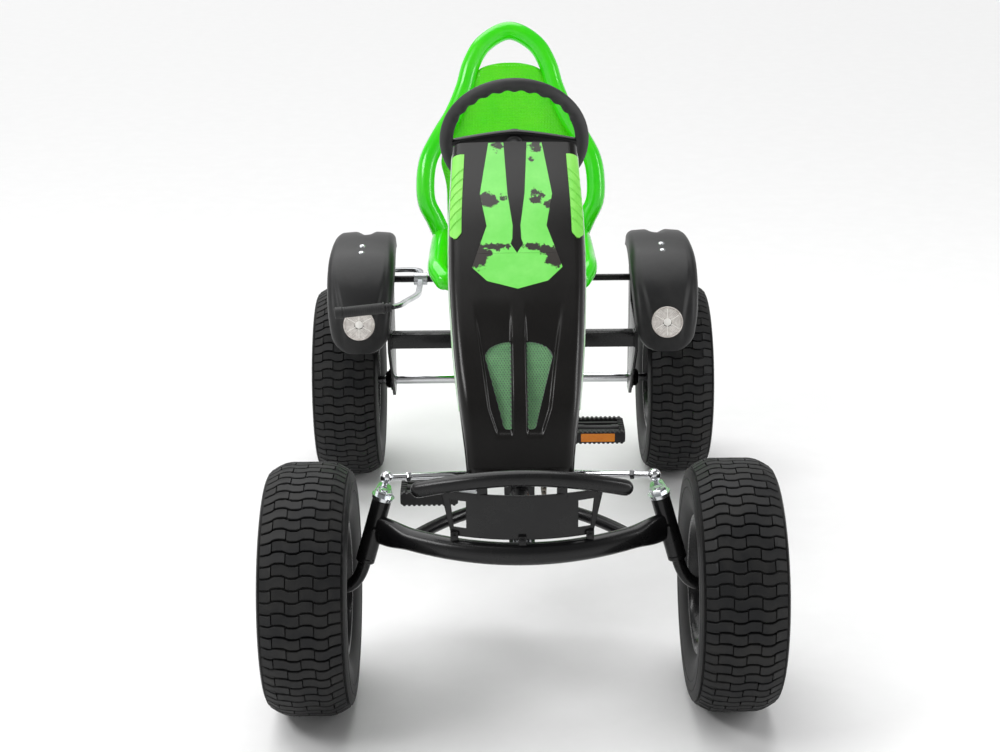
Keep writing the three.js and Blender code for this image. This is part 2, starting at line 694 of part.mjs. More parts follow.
add('bonnet', bonnet(), blackPlastic);
for (const [side, sign] of sides) {
  add(`grille_mesh_${side}`, onBonnet(grilleShape(sign, seam), grilleLow, -4, 2), meshGreen);
  add(`side_vent_${side}`, sideVent(sign), paleGreen);
}

// ---------------------------------------------------------------- fenders and reflectors
// A point in side view at an angle round the rear axle, so far out from the tread.
function overTyre(degrees, out) {
  const angle = THREE.MathUtils.degToRad(degrees);
  const radius = tyreRadius + out;
  return v(wheelbase + radius * Math.cos(angle), tyreRadius + radius * Math.sin(angle), 0);
}

// Fender top line from its low front end to its rear end: angle round the axle, height over the tread.
const fenderLine = [
  [151.1, 80], [139, 105], [126.6, 121], [113, 124], [100.1, 119], [88.1, 115], [77.2, 114],
];
const fenderCurve = new THREE.CatmullRomCurve3(fenderLine.map(([degrees, out]) => overTyre(degrees, out)));
// Half width as [share of the length, value] pairs: it narrows to its front end.
const fenderHalf = [[0, tyreWidth / 2 - 18], [0.12, tyreWidth / 2 - 9], [0.3, tyreWidth / 2 - 3],
  [0.5, tyreWidth / 2 - 1], [1, tyreWidth / 2 - 7]];
const reflectorRadius = 31;
const reflectorTilt = THREE.MathUtils.degToRad(17);

function fender(sign) {
  const section = (at) => {
    const half = along(fenderHalf, at);
    const skirt = THREE.MathUtils.lerp(22, 30, at);
    const outline = (inset) => [
      v2(-half + inset, -skirt), v2(-half + 4 + inset, -10), v2(-half + 16, 0 - inset), v2(0, 4 - inset),
      v2(half - 16, 0 - inset), v2(half - 4 - inset, -10), v2(half - inset, -skirt),
    ];
    const points = [...outline(0), ...outline(fenderWall).reverse()];
    return { points, place: sectionAt(fenderCurve, at, sign * fenderX) };
  };
  const stations = [0, 0.12, 0.24, 0.36, 0.48, 0.6, 0.72, 0.86, 1];
  const body = loft(stations.map(section));
  return cut(body, fenderRodClearance(sign), lens(sign, seam));
}

function fenderRodClearance(sign) {
  return block(44 + 2 * seam, 56 + 2 * seam, 5 + 2 * seam, sign * fenderX, fenderSeatY, fenderSeatZ - 4);
}

function lens(sign, grow = 0) {
  const front = v(0, -Math.cos(reflectorTilt), Math.sin(reflectorTilt));
  const middle = overTyre(140.5, 102);
  const centre = v(sign * fenderX, middle.x, middle.y);
  const back = centre.clone().addScaledVector(front, -3 - grow);
  return rod(back, centre.clone().addScaledVector(front, 8), reflectorRadius + grow, 18);
}

for (const [side, sign] of sides) {
  add(`fender_${side}`, fender(sign), blackPlastic);
  add(`fender_reflector_${side}`, lens(sign), clearLens);
}

// ---------------------------------------------------------------- seat, carriage and rail
const seatRear = seatFront + seatDepth;
const backFoot = v(0, seatRear, seatBottom + 22);
const onBack = (x, up, out = 0) => v(
  x, backFoot.y + up * Math.sin(backLean) - out * Math.cos(backLean),
  backFoot.z + up * Math.cos(backLean) + out * Math.sin(backLean),
);

const panHalf = 140;

function seatPan() {
  const low = seatBottom;
  const outline = new THREE.Shape([
    v2(seatFront, low + 10), v2(seatFront + 14, low), v2(seatRear - 7, low), v2(seatRear + 26, low + 20),
    v2(seatRear + 30, low + 40), v2(seatRear - 2, low + 46), v2(seatRear - 30, low + 26),
    v2(seatRear - 92, low + 16),
    v2(seatFront + 88, low + 16), v2(seatFront + 32, low + 30), v2(seatFront + 8, low + 30),
  ]);
  return sidePlate(outline, -panHalf, 2 * panHalf);
}

function seatBackPanel() {
  const shape = new THREE.Shape();
  shape.moveTo(-132, 0);
  shape.lineTo(132, 0);
  shape.lineTo(134, 130);
  shape.lineTo(148, 182);
  shape.lineTo(106, 278);
  shape.lineTo(78, 350);
  shape.quadraticCurveTo(44, 384, 0, 384);
  shape.quadraticCurveTo(-44, 384, -78, 350);
  shape.lineTo(-106, 278);
  shape.lineTo(-148, 182);
  shape.lineTo(-134, 130);
  const panel = new THREE.ExtrudeGeometry(shape, { depth: seatWall, bevelEnabled: false, curveSegments: 6 });
  panel.rotateX(Math.PI / 2 - backLean);
  return panel.translate(0, backFoot.y + seatWall * 0.6, backFoot.z);
}

function seatBolsters() {
  const low = seatBottom;
  const half = [
    v(136, seatFront + 12, low + 22), v(149, seatFront + 48, low + 32), v(150, seatFront + 128, low + 38),
    v(147, seatRear - 72, low + 50),
    onBack(146, 26, 26), onBack(158, 56, 32), onBack(175, 92, 36), onBack(178, 136, 34), onBack(171, 182, 28),
    onBack(148, 228, 20), onBack(118, 278, 12), onBack(95, 332, 6), onBack(80, 382, 2), onBack(54, 424, 0),
  ];
  const other = half.map((p) => v(-p.x, p.y, p.z)).reverse();
  const path = new THREE.CatmullRomCurve3([...half, onBack(0, 451, 0), ...other]);
  return bentTube(path, bolsterRadius, 8, 48);
}

const carriageFront = seatFront - 12;
const carriageTop = seatBottom - seam;
const railFront = carriageFront - 80;
const railRear = carriageFront + 208;

const saddleWall = 8;
const knobY = carriageFront + 60;
const knobZ = seatRailTop - 12;
const knobStud = 5;

function seatRail() {
  const rail = block(seatRailWidth, railRear - railFront, seatRailHeight, 0, (railRear + railFront) / 2,
    seatRailTop - seatRailHeight / 2);
  const low = backboneZ + backboneHeight / 2 + seam;
  const barTop = crossbarZ + crossbarSide / 2 + seam;
  const high = seatRailTop - seatRailHeight + 2;
  const frontPost = block(30, 40, high - low, 0, railFront + 22, (high + low) / 2);
  const rearPost = block(60, 24, high - barTop, 0, crossbarY, (high + barTop) / 2);
  return join(rail, frontPost, rearPost);
}

function seatCarriage() {
  const low = seatRailTop - seatRailHeight + 4;
  const middle = carriageFront + carriageLength / 2;
  const width = seatRailWidth + 2 * saddleWall;
  const saddle = block(width, carriageLength, carriageTop - low, 0, middle, (carriageTop + low) / 2);
  const topPlate = block(170, carriageLength + 10, 5, 0, middle, carriageTop - 2.5);
  const slotLow = low - 60;
  const slotHigh = seatRailTop + running;
  const slotWidth = seatRailWidth + 2 * running;
  const slot = block(slotWidth, 3 * carriageLength, slotHigh - slotLow, 0, middle, (slotHigh + slotLow) / 2);
  const knobHole = hole(v(0, knobY, knobZ), v(seatRailWidth + 20, knobY, knobZ), knobStud + running);
  return cut(join(saddle, topPlate), slot, knobHole);
}

function seatKnob() {
  const inner = seatRailWidth / 2 + 2 * running;
  const outer = seatRailWidth / 2 + saddleWall + 4;
  return join(
    lyingTube(knobY, knobZ, inner, outer + 4, knobStud, 10),
    lyingTube(knobY, knobZ, outer, outer + 16, 16, 8),
  );
}

add('seat_shell', join(seatPan(), seatBackPanel(), seatBolsters()), greenPlastic);
add('seat_carriage', seatCarriage(), blackPaint);
add('seat_knob', seatKnob(), blackPlastic);
add('seat_rail', seatRail(), blackPaint);

// ---------------------------------------------------------------- crank, pedals, chain and rear axle
const armDepth = 12;
const armInner = spindleHalf + seam;
const armOuter = armInner + armDepth;
const pedalInner = pedalX - pedalWidth / 2;

function crankArmOn(sign) {
  const endY = crankY + sign * crankArm;
  const x = sign * (armInner + armDepth / 2);
  const from = sign * armInner;
  const to = sign * armOuter;
  return join(
    block(armDepth, crankArm, 22, x, (crankY + endY) / 2, crankZ),
    lyingTube(crankY, crankZ, from, to, 17), lyingTube(endY, crankZ, from, to, 13),
    lyingTube(endY, crankZ, from, sign * (pedalX + pedalWidth / 2 - 4), pedalAxleRadius, 12),
  );
}

function pedal(sign) {
  const y = crankY + sign * crankArm;
  const body = block(pedalWidth, pedalDepth, pedalHeight, sign * pedalX, y, crankZ);
  return cut(body, lyingHole(y, crankZ, 400, pedalAxleRadius + running));
}

const pitchRadius = (teeth) => chainPitch / (2 * Math.sin(Math.PI / teeth));
const chainClearance = 1;

function sprocket(teeth, y, z, bore, hub) {
  const radius = pitchRadius(teeth) - chainHeight / 2 - chainClearance;
  const from = chainX - sprocketThickness / 2;
  const to = chainX + sprocketThickness / 2;
  const disc = lyingTube(y, z, from, to, radius, 24);
  const boss = lyingTube(y, z, from - 8, to, hub);
  return cut(join(disc, boss), hole(v(from - 40, y, z), v(to + 40, y, z), bore));
}

// An endless belt of the chain's size round both sprockets.
function chainOutline(offset) {
  const big = pitchRadius(chainringTeeth) + offset;
  const small = pitchRadius(sprocketTeeth) + offset;
  const run = Math.hypot(wheelbase - crankY, tyreRadius - crankZ);
  const slope = Math.atan2(tyreRadius - crankZ, wheelbase - crankY);
  const wrap = Math.acos((big - small) / run);
  const points = [];
  const arc = (y, z, radius, from, to, steps) => {
    for (let i = 0; i <= steps; i += 1) {
      const angle = from + ((to - from) * i) / steps;
      points.push(v2(y + radius * Math.cos(angle), z + radius * Math.sin(angle)));
    }
  };
  arc(wheelbase, tyreRadius, small, slope - wrap, slope + wrap, 10);
  arc(crankY, crankZ, big, slope + wrap, slope - wrap + 2 * Math.PI, 22);
  return points;
}

function chain() {
  const outline = new THREE.Shape(chainOutline(chainHeight / 2));
  outline.holes.push(new THREE.Path(chainOutline(-chainHeight / 2)));
  return sidePlate(outline, chainX - 4, 8);
}

const wheelNutLength = 12;
const rearReach = rearHalfTrack + 34 + wheelNutLength;

add('crank_spindle', lyingTube(crankY, crankZ, -spindleHalf, spindleHalf, spindleRadius, 20), zinc);
for (const [side, sign] of sides) {
  add(`crank_arm_${side}`, crankArmOn(sign), zinc);
  add(`pedal_${side}`, pedal(sign), blackPlastic);
}
add('chainring', sprocket(chainringTeeth, crankY, crankZ, spindleRadius + seam, 26), zinc);
add('chain', chain(), chainSteel);
add('axle_shaft', lyingTube(wheelbase, tyreRadius, -rearReach, rearReach, axleRadius, 20), zinc);
add('rear_sprocket', sprocket(sprocketTeeth, wheelbase, tyreRadius, axleRadius + seam, 20), zinc);

// ---------------------------------------------------------------- hand brake
const gripRadius = 11.5;
const gripInner = v(brakeX - 46, wheelbase - tyreRadius - 95, fenderRodZ + 25);
const gripOuter = v(brakeX - 155, wheelbase - tyreRadius - 103, fenderRodZ + 16);

function brakeLever() {
  const sleeve = lyingTube(wheelbase, fenderRodZ, brakeX - 14, brakeX + 14, 13);
  const path = new THREE.CatmullRomCurve3([
    v(brakeX, wheelbase - 8, fenderRodZ), v(brakeX, wheelbase - 85, fenderRodZ),
    v(brakeX - 2, wheelbase - 130, fenderRodZ + 3), v(brakeX - 22, gripInner.y + 80, fenderRodZ + 13),
    v(brakeX - 30, gripInner.y + 30, fenderRodZ + 21), gripInner.clone().add(v(0.4, 0, 0)),
  ]);
  const rearArm = new THREE.CatmullRomCurve3([
    v(brakeX, wheelbase + 8, fenderRodZ), v(brakeX - 6, wheelbase + 52, fenderRodZ + 4),
    v(brakeX - 60, wheelbase + 66, fenderRodZ + 2), v(-fenderX - 6, wheelbase + 90, fenderRodZ - 2),
  ]);
  const shoe = block(70, 30, 18, -fenderX - 10, wheelbase + 96, 2 * tyreRadius + 12);
  const bore = lyingHole(wheelbase, fenderRodZ, 400, fenderRodRadius + running);
  const grip = hole(gripInner, gripOuter, gripRadius + seam, 16);
  return cut(join(sleeve, bentTube(path, 6, 8, 16), bentTube(rearArm, 6, 6, 8), shoe), bore, grip);
}

add('brake_lever', brakeLever(), zinc);
add('brake_grip', rod(gripInner, gripOuter, gripRadius, 16), gloveBlack);

// The footprint's middle, at ground level, is the part's origin.
const footprint = new THREE.Box3().setFromObject(kart);
kart.position.set(0, -(footprint.min.y + footprint.max.y) / 2, -footprint.min.z);

export default kart;
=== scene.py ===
# %% [markdown]
# # Pedal go kart: the looks
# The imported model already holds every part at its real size, so this notebook only dresses it. Each step
# takes one piece of the kart, says what it is on the real one, and builds a finer mesh in the same place.
# Lengths are in metres; the kart faces -Y, so the driver's left is +X, and Z = 0 is the ground.

# %% Load the frame
import json
import math
import bmesh
import bpy
import numpy as np
from mathutils import Matrix, Vector


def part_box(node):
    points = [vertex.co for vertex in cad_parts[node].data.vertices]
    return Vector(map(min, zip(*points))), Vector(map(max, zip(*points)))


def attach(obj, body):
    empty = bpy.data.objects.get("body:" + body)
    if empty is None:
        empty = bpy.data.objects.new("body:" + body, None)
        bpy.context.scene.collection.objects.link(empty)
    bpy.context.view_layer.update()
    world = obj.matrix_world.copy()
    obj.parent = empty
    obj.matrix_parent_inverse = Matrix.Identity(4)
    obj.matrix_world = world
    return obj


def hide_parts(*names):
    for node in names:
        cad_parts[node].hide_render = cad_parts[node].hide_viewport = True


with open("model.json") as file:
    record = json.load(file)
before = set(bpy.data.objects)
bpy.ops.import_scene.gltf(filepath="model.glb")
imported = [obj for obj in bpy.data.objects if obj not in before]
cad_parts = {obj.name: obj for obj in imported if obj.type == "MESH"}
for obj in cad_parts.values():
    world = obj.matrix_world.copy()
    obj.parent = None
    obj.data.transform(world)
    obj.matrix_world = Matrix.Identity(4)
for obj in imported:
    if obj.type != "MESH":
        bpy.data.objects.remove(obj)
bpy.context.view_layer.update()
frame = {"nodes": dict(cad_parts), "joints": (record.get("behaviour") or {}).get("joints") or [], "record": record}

MM = 0.001
joints = {joint["name"]: joint for joint in frame["joints"]}
body_of_node = {node: body for body, nodes in frame["record"]["behaviour"]["bodies"].items() for node in nodes}

# %% [markdown]
# A place on the kart is easiest to give as a draughtsman would: millimetres from the front axle's middle on
# the ground. Everything that turns has its axis in the joints, so those places are read and not typed.

# %% Places
front_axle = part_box("front_tyre_left")
rear_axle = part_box("rear_tyre_left")
front_y = (front_axle[0].y + front_axle[1].y) / 2
rear_y = (rear_axle[0].y + rear_axle[1].y) / 2
tyre_radius = (rear_axle[1].z - rear_axle[0].z) / 2
wheelbase = (rear_y - front_y) / MM
SIDES = (("left", 1), ("right", -1))


def at(x, y, z):
    """Millimetres from the front axle's middle on the ground, as a point in the frame."""
    return Vector((x * MM, y * MM + front_y, z * MM))


def pivot(name):
    return Vector(joints[name]["pos_m"])


def axis_of(name):
    return Vector(joints[name]["axis"]).normalized()


print("wheelbase", round(wheelbase), "mm, tyre radius", round(tyre_radius / MM), "mm")

# %% [markdown]
# A small mesh builder comes next. It gathers rings, tubes and plates into one mesh and hands it to the body
# that it rides on. Blender's own primitives would need joining and cleaning; plain rings of points don't.

# %% The mesh builder
class Mesh:
    def __init__(self):
        self.points = []
        self.faces = []

    def ring_faces(self, first, second, count, closed=True):
        for i in range(count if closed else count - 1):
            j = (i + 1) % count
            self.faces.append((first + i, first + j, second + j, second + i))

    def add(self, points):
        start = len(self.points)
        self.points.extend(Vector(point) for point in points)
        return start

    def rings(self, rings, loop=False, caps=True):
        """Joins rings of equal count, end to end, with flat caps unless it loops."""
        starts = [self.add(ring) for ring in rings]
        count = len(rings[0])
        for first, second in zip(starts, starts[1:]):
            self.ring_faces(first, second, count)
        if loop:
            self.ring_faces(starts[-1], starts[0], count)
        elif caps:
            self.faces.append(tuple(reversed(range(starts[0], starts[0] + count))))
            self.faces.append(tuple(range(starts[-1], starts[-1] + count)))
        return self

    def turned(self, origin, axis, profile, segments=48, closed=False):
        """Turns (distance along the axis, radius) pairs about an axis, as on a lathe."""
        axis = Vector(axis).normalized()
        side = axis.orthogonal().normalized()
        other = axis.cross(side)
        rings = []
        for along, radius in profile:
            radius = max(radius, 1e-5)
            centre = Vector(origin) + axis * along
            rings.append([
                centre + (side * math.cos(a) + other * math.sin(a)) * radius
                for a in (2 * math.pi * i / segments for i in range(segments))
            ])
        return self.rings(rings, loop=closed)

    def swept(self, path, section, loop=False, up=None):
        """Carries a flat section, or one for each point, along a path without twisting it."""
        path = [Vector(point) for point in path]
        count = len(path)
        tangents = []
        for i in range(count):
            before = path[(i - 1) % count] if loop or i else path[i]
            after = path[(i + 1) % count] if loop or i < count - 1 else path[i]
            tangents.append((after - before).normalized())
        side = up.cross(tangents[0]).normalized() if up else tangents[0].orthogonal().normalized()
        rings = []
        for i, (point, tangent) in enumerate(zip(path, tangents)):
            side = up.cross(tangent).normalized() if up else (side - tangent * side.dot(tangent)).normalized()
            other = tangent.cross(side)
            flat = section[i] if isinstance(section[0], list) else section
            rings.append([point + side * a + other * b for a, b in flat])
        return self.rings(rings, loop=loop)

    def tube(self, path, radius, sides=20, loop=False, rounded=False):
        path = [Vector(point) for point in path]
        if not rounded:
            return self.swept(path, oval(radius, radius, sides), loop)
        start_way = (path[0] - path[1]).normalized()
        end_way = (path[-1] - path[-2]).normalized()
        steps = [math.pi / 2 * i / 5 for i in range(1, 6)]
        head = [path[0] + start_way * radius * math.sin(a) for a in reversed(steps)]
        tail = [path[-1] + end_way * radius * math.sin(a) for a in steps]
        tips = [max(math.cos(a), 0.02) for a in steps]
        scales = list(reversed(tips)) + [1] * len(path) + tips
        sections = [oval(radius * s, radius * s, sides) for s in scales]
        return self.swept(head + path + tail, sections)

    def rod(self, start, end, radius, sides=24, edge=0.0006):
        """A straight round bar with its end corners broken."""
        start, end = Vector(start), Vector(end)
        length = (end - start).length
        profile = [(0, 0), (0, radius - edge), (edge, radius), (length - edge, radius), (length, radius - edge),
                   (length, 0)]
        return self.turned(start, end - start, profile, sides)

    def prism(self, outline, origin, across, up, thickness, edge=0.0008):
        """A plate: a flat outline of (across, up) pairs with thickness behind it and broken corners."""
        across, up = Vector(across).normalized(), Vector(up).normalized()
        normal = across.cross(up)
        middle = np.mean(np.array(outline), axis=0)
        reach = max(np.linalg.norm(np.array(outline) - middle, axis=1).max(), 1e-6)

        def layer(depth, inset):
            keep = 1 - inset / reach
            return [
                Vector(origin) + across * (middle[0] + (a - middle[0]) * keep)
                + up * (middle[1] + (b - middle[1]) * keep) + normal * depth for a, b in outline
            ]

        return self.rings([layer(0, edge), layer(edge, 0), layer(thickness - edge, 0), layer(thickness, edge)])

    def bolt(self, head_at, axis, radius=0.0065, height=0.005, washer=True, sides=6):
        """A bolt head or nut with its washer, standing on head_at."""
        axis = Vector(axis).normalized()
        if washer:
            self.turned(head_at, axis, [(0, 0), (0, radius * 1.45), (0.0012, radius * 1.45), (0.0012, 0)], 20)
        base = Vector(head_at) + axis * 0.0012
        top = radius * 0.86
        self.turned(base, axis, [(0, 0), (0, radius), (height * 0.8, radius), (height, top), (height, 0)], sides)
        shank = radius * 0.45
        return self.turned(base, axis, [(height, 0), (height, shank), (height * 1.3, shank * 0.9),
                                        (height * 1.3, 0)], 12)

    def make(self, name, material, body, slot, replaces=(), smooth=35, bevel=0, thick=0, levels=0, weld=True):
        data = bpy.data.meshes.new(name)
        data.from_pydata(self.points, [], self.faces)
        work = bmesh.new()
        work.from_mesh(data)
        if weld:
            bmesh.ops.remove_doubles(work, verts=work.verts, dist=2e-5)
        bmesh.ops.dissolve_degenerate(work, dist=1e-6, edges=work.edges)
        if not thick:
            bmesh.ops.recalc_face_normals(work, faces=work.faces)
        work.to_mesh(data)
        work.free()
        piece = bpy.data.objects.new(name, data)
        bpy.context.scene.collection.objects.link(piece)
        return dress(piece, material, body, replaces, smooth, bevel, thick, levels)


def dress(piece, material, body, replaces=(), smooth=35, bevel=0, thick=0, levels=0):
    """Gives a piece its material, modifiers, shading and body."""
    data = piece.data
    data.materials.clear()
    data.materials.append(material)
    if thick:
        wall = piece.modifiers.new("wall", "SOLIDIFY")
        wall.thickness = thick
        wall.offset = -1
        wall.use_even_offset = True
    if bevel:
        edge = piece.modifiers.new("edges", "BEVEL")
        edge.width = bevel
        edge.segments = 2
        edge.limit_method = "ANGLE"
        edge.angle_limit = math.radians(smooth)
    if levels:
        fine = piece.modifiers.new("fine", "SUBSURF")
        fine.levels = fine.render_levels = levels
    apply_modifiers(piece)
    piece.data.shade_smooth()
    piece.data.set_sharp_from_angle(angle=math.radians(smooth))
    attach(piece, body)
    if replaces:
        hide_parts(*replaces)
    return piece


def apply_modifiers(piece):
    if not piece.modifiers:
        return
    bpy.context.view_layer.update()
    shaped = bpy.data.meshes.new_from_object(piece.evaluated_get(bpy.context.evaluated_depsgraph_get()))
    piece.modifiers.clear()
    old, piece.data = piece.data, shaped
    bpy.data.meshes.remove(old)


def oval(width, height, sides=20):
    return [(width * math.cos(a), height * math.sin(a)) for a in (2 * math.pi * i / sides for i in range(sides))]


def squared(width, height, corner, steps=4):
    """A rectangle with round corners, as a section."""
    points = []
    for quarter, (sx, sy) in enumerate(((1, 1), (-1, 1), (-1, -1), (1, -1))):
        for i in range(steps + 1):
            a = math.pi / 2 * (quarter + i / steps)
            points.append((sx * (width - corner) + corner * math.cos(a), sy * (height - corner) + corner * math.sin(a)))
    return points


def spline(points, per_piece=24, loop=False):
    """A centripetal curve through the points, evenly stepped afterwards."""
    points = [Vector(point) for point in points]
    count = len(points)
    out = []
    for i in range(count if loop else count - 1):
        p1, p2 = points[i], points[(i + 1) % count]
        p0 = points[i - 1] if loop or i else 2 * points[0] - points[1]
        p3 = points[(i + 2) % count] if loop or i + 2 < count else 2 * points[-1] - points[-2]
        d0, d1, d2 = (max((b - a).length ** 0.5, 1e-4) for a, b in ((p0, p1), (p1, p2), (p2, p3)))
        t1 = ((p1 - p0) / d0 - (p2 - p0) / (d0 + d1) + (p2 - p1) / d1) * d1
        t2 = ((p2 - p1) / d1 - (p3 - p1) / (d1 + d2) + (p3 - p2) / d2) * d1
        for step in range(per_piece):
            t = step / per_piece
            out.append(p1 + t1 * t + (3 * (p2 - p1) - 2 * t1 - t2) * t * t + (2 * (p1 - p2) + t1 + t2) * t ** 3)
    if not loop:
        out.append(points[-1])
    return out


def evenly(path, count, loop=False):
    """The same line with count points, equal distances apart."""
    line = np.array([tuple(point) for point in path + ([path[0]] if loop else [])])
    along = np.r_[0, np.cumsum(np.linalg.norm(np.diff(line, axis=0), axis=1))]
    stops = np.linspace(0, along[-1], count + 1)[:-1] if loop else np.linspace(0, along[-1], count)
    return [Vector([float(np.interp(stop, along, line[:, i])) for i in range(3)]) for stop in stops]


def bezier(start, control, end, count=40):
    start, control, end = Vector(start), Vector(control), Vector(end)
    return [start * (1 - t) ** 2 + control * 2 * t * (1 - t) + end * t * t for t in np.linspace(0, 1, count)]


def ramp(x, low, high):
    """0 below low, 1 above high, smooth between."""
    t = min(max((x - low) / (high - low), 0), 1)
    return t * t * (3 - 2 * t)


def refined(node, material, bevel=0.0012, smooth=32):
    """A copy of a CAD node with its flat faces made whole and its edges broken."""
    piece = bpy.data.objects.new(node + "_finish", frame["nodes"][node].data.copy())
    bpy.context.scene.collection.objects.link(piece)
    work = bmesh.new()
    work.from_mesh(piece.data)
    bmesh.ops.remove_doubles(work, verts=work.verts, dist=1e-5)
    bmesh.ops.dissolve_limit(work, angle_limit=math.radians(1), verts=work.verts, edges=work.edges)
    work.to_mesh(piece.data)
    work.free()
    return dress(piece, material, body_of_node[node], (node,), smooth, bevel)


# %% [markdown]
# ## Finishes
# Every finish starts from one recipe: a Principled shader whose colour, roughness and surface come from noise
# laid in object space, so the grain keeps its real scale on every part. The recipe takes the two colours,
# the range of roughness and the height of the grain.

# %% The finish recipe
def finish(name, colour, worn, rough=(0.3, 0.45), metal=0.0, grain=600, height=0.00004, patches=14, **sockets):
    material = bpy.data.materials.new(name)
    material.use_nodes = True
    nodes, links = material.node_tree.nodes, material.node_tree.links
    shader = nodes["Principled BSDF"]
    place = nodes.new("ShaderNodeTexCoord")
    blotch = nodes.new("ShaderNodeTexNoise")
    blotch.inputs["Scale"].default_value = patches
    blotch.inputs["Detail"].default_value = 8
    blotch.inputs["Roughness"].default_value = 0.62
    fine = nodes.new("ShaderNodeTexNoise")
    fine.inputs["Scale"].default_value = grain
    fine.inputs["Detail"].default_value = 3
    spread = nodes.new("ShaderNodeMapRange")
    spread.inputs["From Min"].default_value = 0.42
    spread.inputs["From Max"].default_value = 0.72
    tint = nodes.new("ShaderNodeMix")
    tint.data_type = "RGBA"
    tint.inputs["A"].default_value = (*colour, 1)
    tint.inputs["B"].default_value = (*worn, 1)
    sheen = nodes.new("ShaderNodeMapRange")
    sheen.inputs["To Min"].default_value, sheen.inputs["To Max"].default_value = rough
    bump = nodes.new("ShaderNodeBump")
    bump.inputs["Strength"].default_value = 0.6
    bump.inputs["Distance"].default_value = height
    links.new(place.outputs["Object"], blotch.inputs["Vector"])
    links.new(place.outputs["Object"], fine.inputs["Vector"])
    links.new(blotch.outputs["Fac"], spread.inputs["Value"])
    links.new(spread.outputs["Result"], tint.inputs["Factor"])
    links.new(tint.outputs["Result"], shader.inputs["Base Color"])
    links.new(blotch.outputs["Fac"], sheen.inputs["Value"])
    links.new(sheen.outputs["Result"], shader.inputs["Roughness"])
    links.new(fine.outputs["Fac"], bump.inputs["Height"])
    links.new(bump.outputs["Normal"], shader.inputs["Normal"])
    shader.inputs["Metallic"].default_value = metal
    for socket, value in sockets.items():
        shader.inputs[socket.replace("_", " ")].default_value = value
    return material


black_paint = finish("gloss black powder coat", (0.006, 0.006, 0.0065), (0.012, 0.012, 0.012), (0.2, 0.34),
                     grain=900, height=0.00006, Coat_Weight=0.1, Specular_IOR_Level=0.26)
bonnet_black = finish("satin black moulding", (0.0062, 0.0056, 0.0052), (0.0085, 0.0078, 0.0072), (0.2, 0.3),
                      grain=1400, height=0.00003, Specular_IOR_Level=0.3)
fender_black = finish("grained black plastic", (0.011, 0.011, 0.0115), (0.022, 0.022, 0.022), (0.38, 0.52),
                      grain=1500, height=0.00010, Specular_IOR_Level=0.3)
grip_black = finish("soft grip black", (0.014, 0.014, 0.0145), (0.024, 0.024, 0.025), (0.5, 0.68), grain=1800,
                    height=0.00014)
rubber = finish("tyre rubber", (0.0075, 0.0078, 0.0085), (0.02, 0.0195, 0.0185), (0.45, 0.7), grain=700,
                height=0.00022, patches=22, Specular_IOR_Level=0.25)
zinc = finish("bright zinc plate", (0.62, 0.64, 0.66), (0.46, 0.47, 0.48), (0.16, 0.34), metal=1.0, grain=500,
              height=0.00003)
polished = finish("polished steel", (0.74, 0.75, 0.77), (0.6, 0.6, 0.61), (0.06, 0.16), metal=1.0, grain=300,
                  height=0.00001)
chain_steel = finish("oiled chain steel", (0.2, 0.18, 0.15), (0.05, 0.04, 0.03), (0.28, 0.5), metal=1.0,
                     grain=400, patches=60)
seat_green = finish("glossy green moulding", (0.025, 0.70, 0.0), (0.07, 0.78, 0.003), (0.17, 0.3), grain=900,
                    height=0.00005, patches=6, Coat_Weight=0.3)
vent_green = finish("light green insert", (0.2, 0.72, 0.08), (0.32, 0.82, 0.14), (0.35, 0.5), grain=900)
mesh_green = finish("painted expanded metal", (0.22, 0.47, 0.23), (0.16, 0.36, 0.18), (0.4, 0.6), grain=900,
                    patches=90, Specular_IOR_Level=0.3)
mesh_back = finish("grey filter cloth", (0.16, 0.17, 0.17), (0.24, 0.22, 0.25), (0.7, 0.9), grain=700, patches=120,
                   Specular_IOR_Level=0.2)
amber = finish("amber reflector", (0.72, 0.19, 0.0), (0.85, 0.3, 0.01), (0.12, 0.3), grain=420, height=0.0005)
lens_back = finish("silvered prism plate", (0.50, 0.46, 0.43), (0.80, 0.76, 0.72), (0.15, 0.35), grain=420,
                   height=0.0006, patches=130)
# The near-white colour of the lens ribs and prism lines is a painted glint of the light they catch.
lens_rib_painted_glint = finish("lens rib painted glint", (0.93, 0.91, 0.87), (0.86, 0.84, 0.8), (0.2, 0.4), grain=500)


def dimple(material, pitch, depth):
    """Adds rows of small round bumps, laid on the slope of the seat back, to a finish."""
    nodes, links = material.node_tree.nodes, material.node_tree.links
    bump = nodes["Bump"]
    cells = nodes.new("ShaderNodeTexVoronoi")
    cells.inputs["Scale"].default_value = 1 / pitch
    cells.inputs["Randomness"].default_value = 0.0
    flat = nodes.new("ShaderNodeVectorMath")
    flat.operation = "MULTIPLY"
    flat.inputs[1].default_value = (1, 0, 1)
    low = nodes.new("ShaderNodeMapRange")
    low.inputs["From Min"].default_value, low.inputs["From Max"].default_value = 0.15, 0.5
    low.inputs["To Min"].default_value, low.inputs["To Max"].default_value = 1, 0
    place = next(node for node in nodes if node.type == "TEX_COORD")
    links.new(place.outputs["Object"], flat.inputs[0])
    links.new(flat.outputs["Vector"], cells.inputs["Vector"])
    links.new(cells.outputs["Distance"], low.inputs["Value"])
    links.new(low.outputs["Result"], bump.inputs["Height"])
    bump.inputs["Distance"].default_value = depth
    return material


seat_dimpled = dimple(finish("dimpled green moulding", (0.08, 0.74, 0.003), (0.14, 0.8, 0.008), (0.2, 0.32),
                             patches=6), 0.006, 0.0009)
print("finishes", len(bpy.data.materials))

# %% [markdown]
# ## Floor, light and camera
# A studio set-up: one wide pale floor that fills the view, a big soft light high on the left, a smaller one
# on the right for the long reflections in the black parts, and a pale surround.

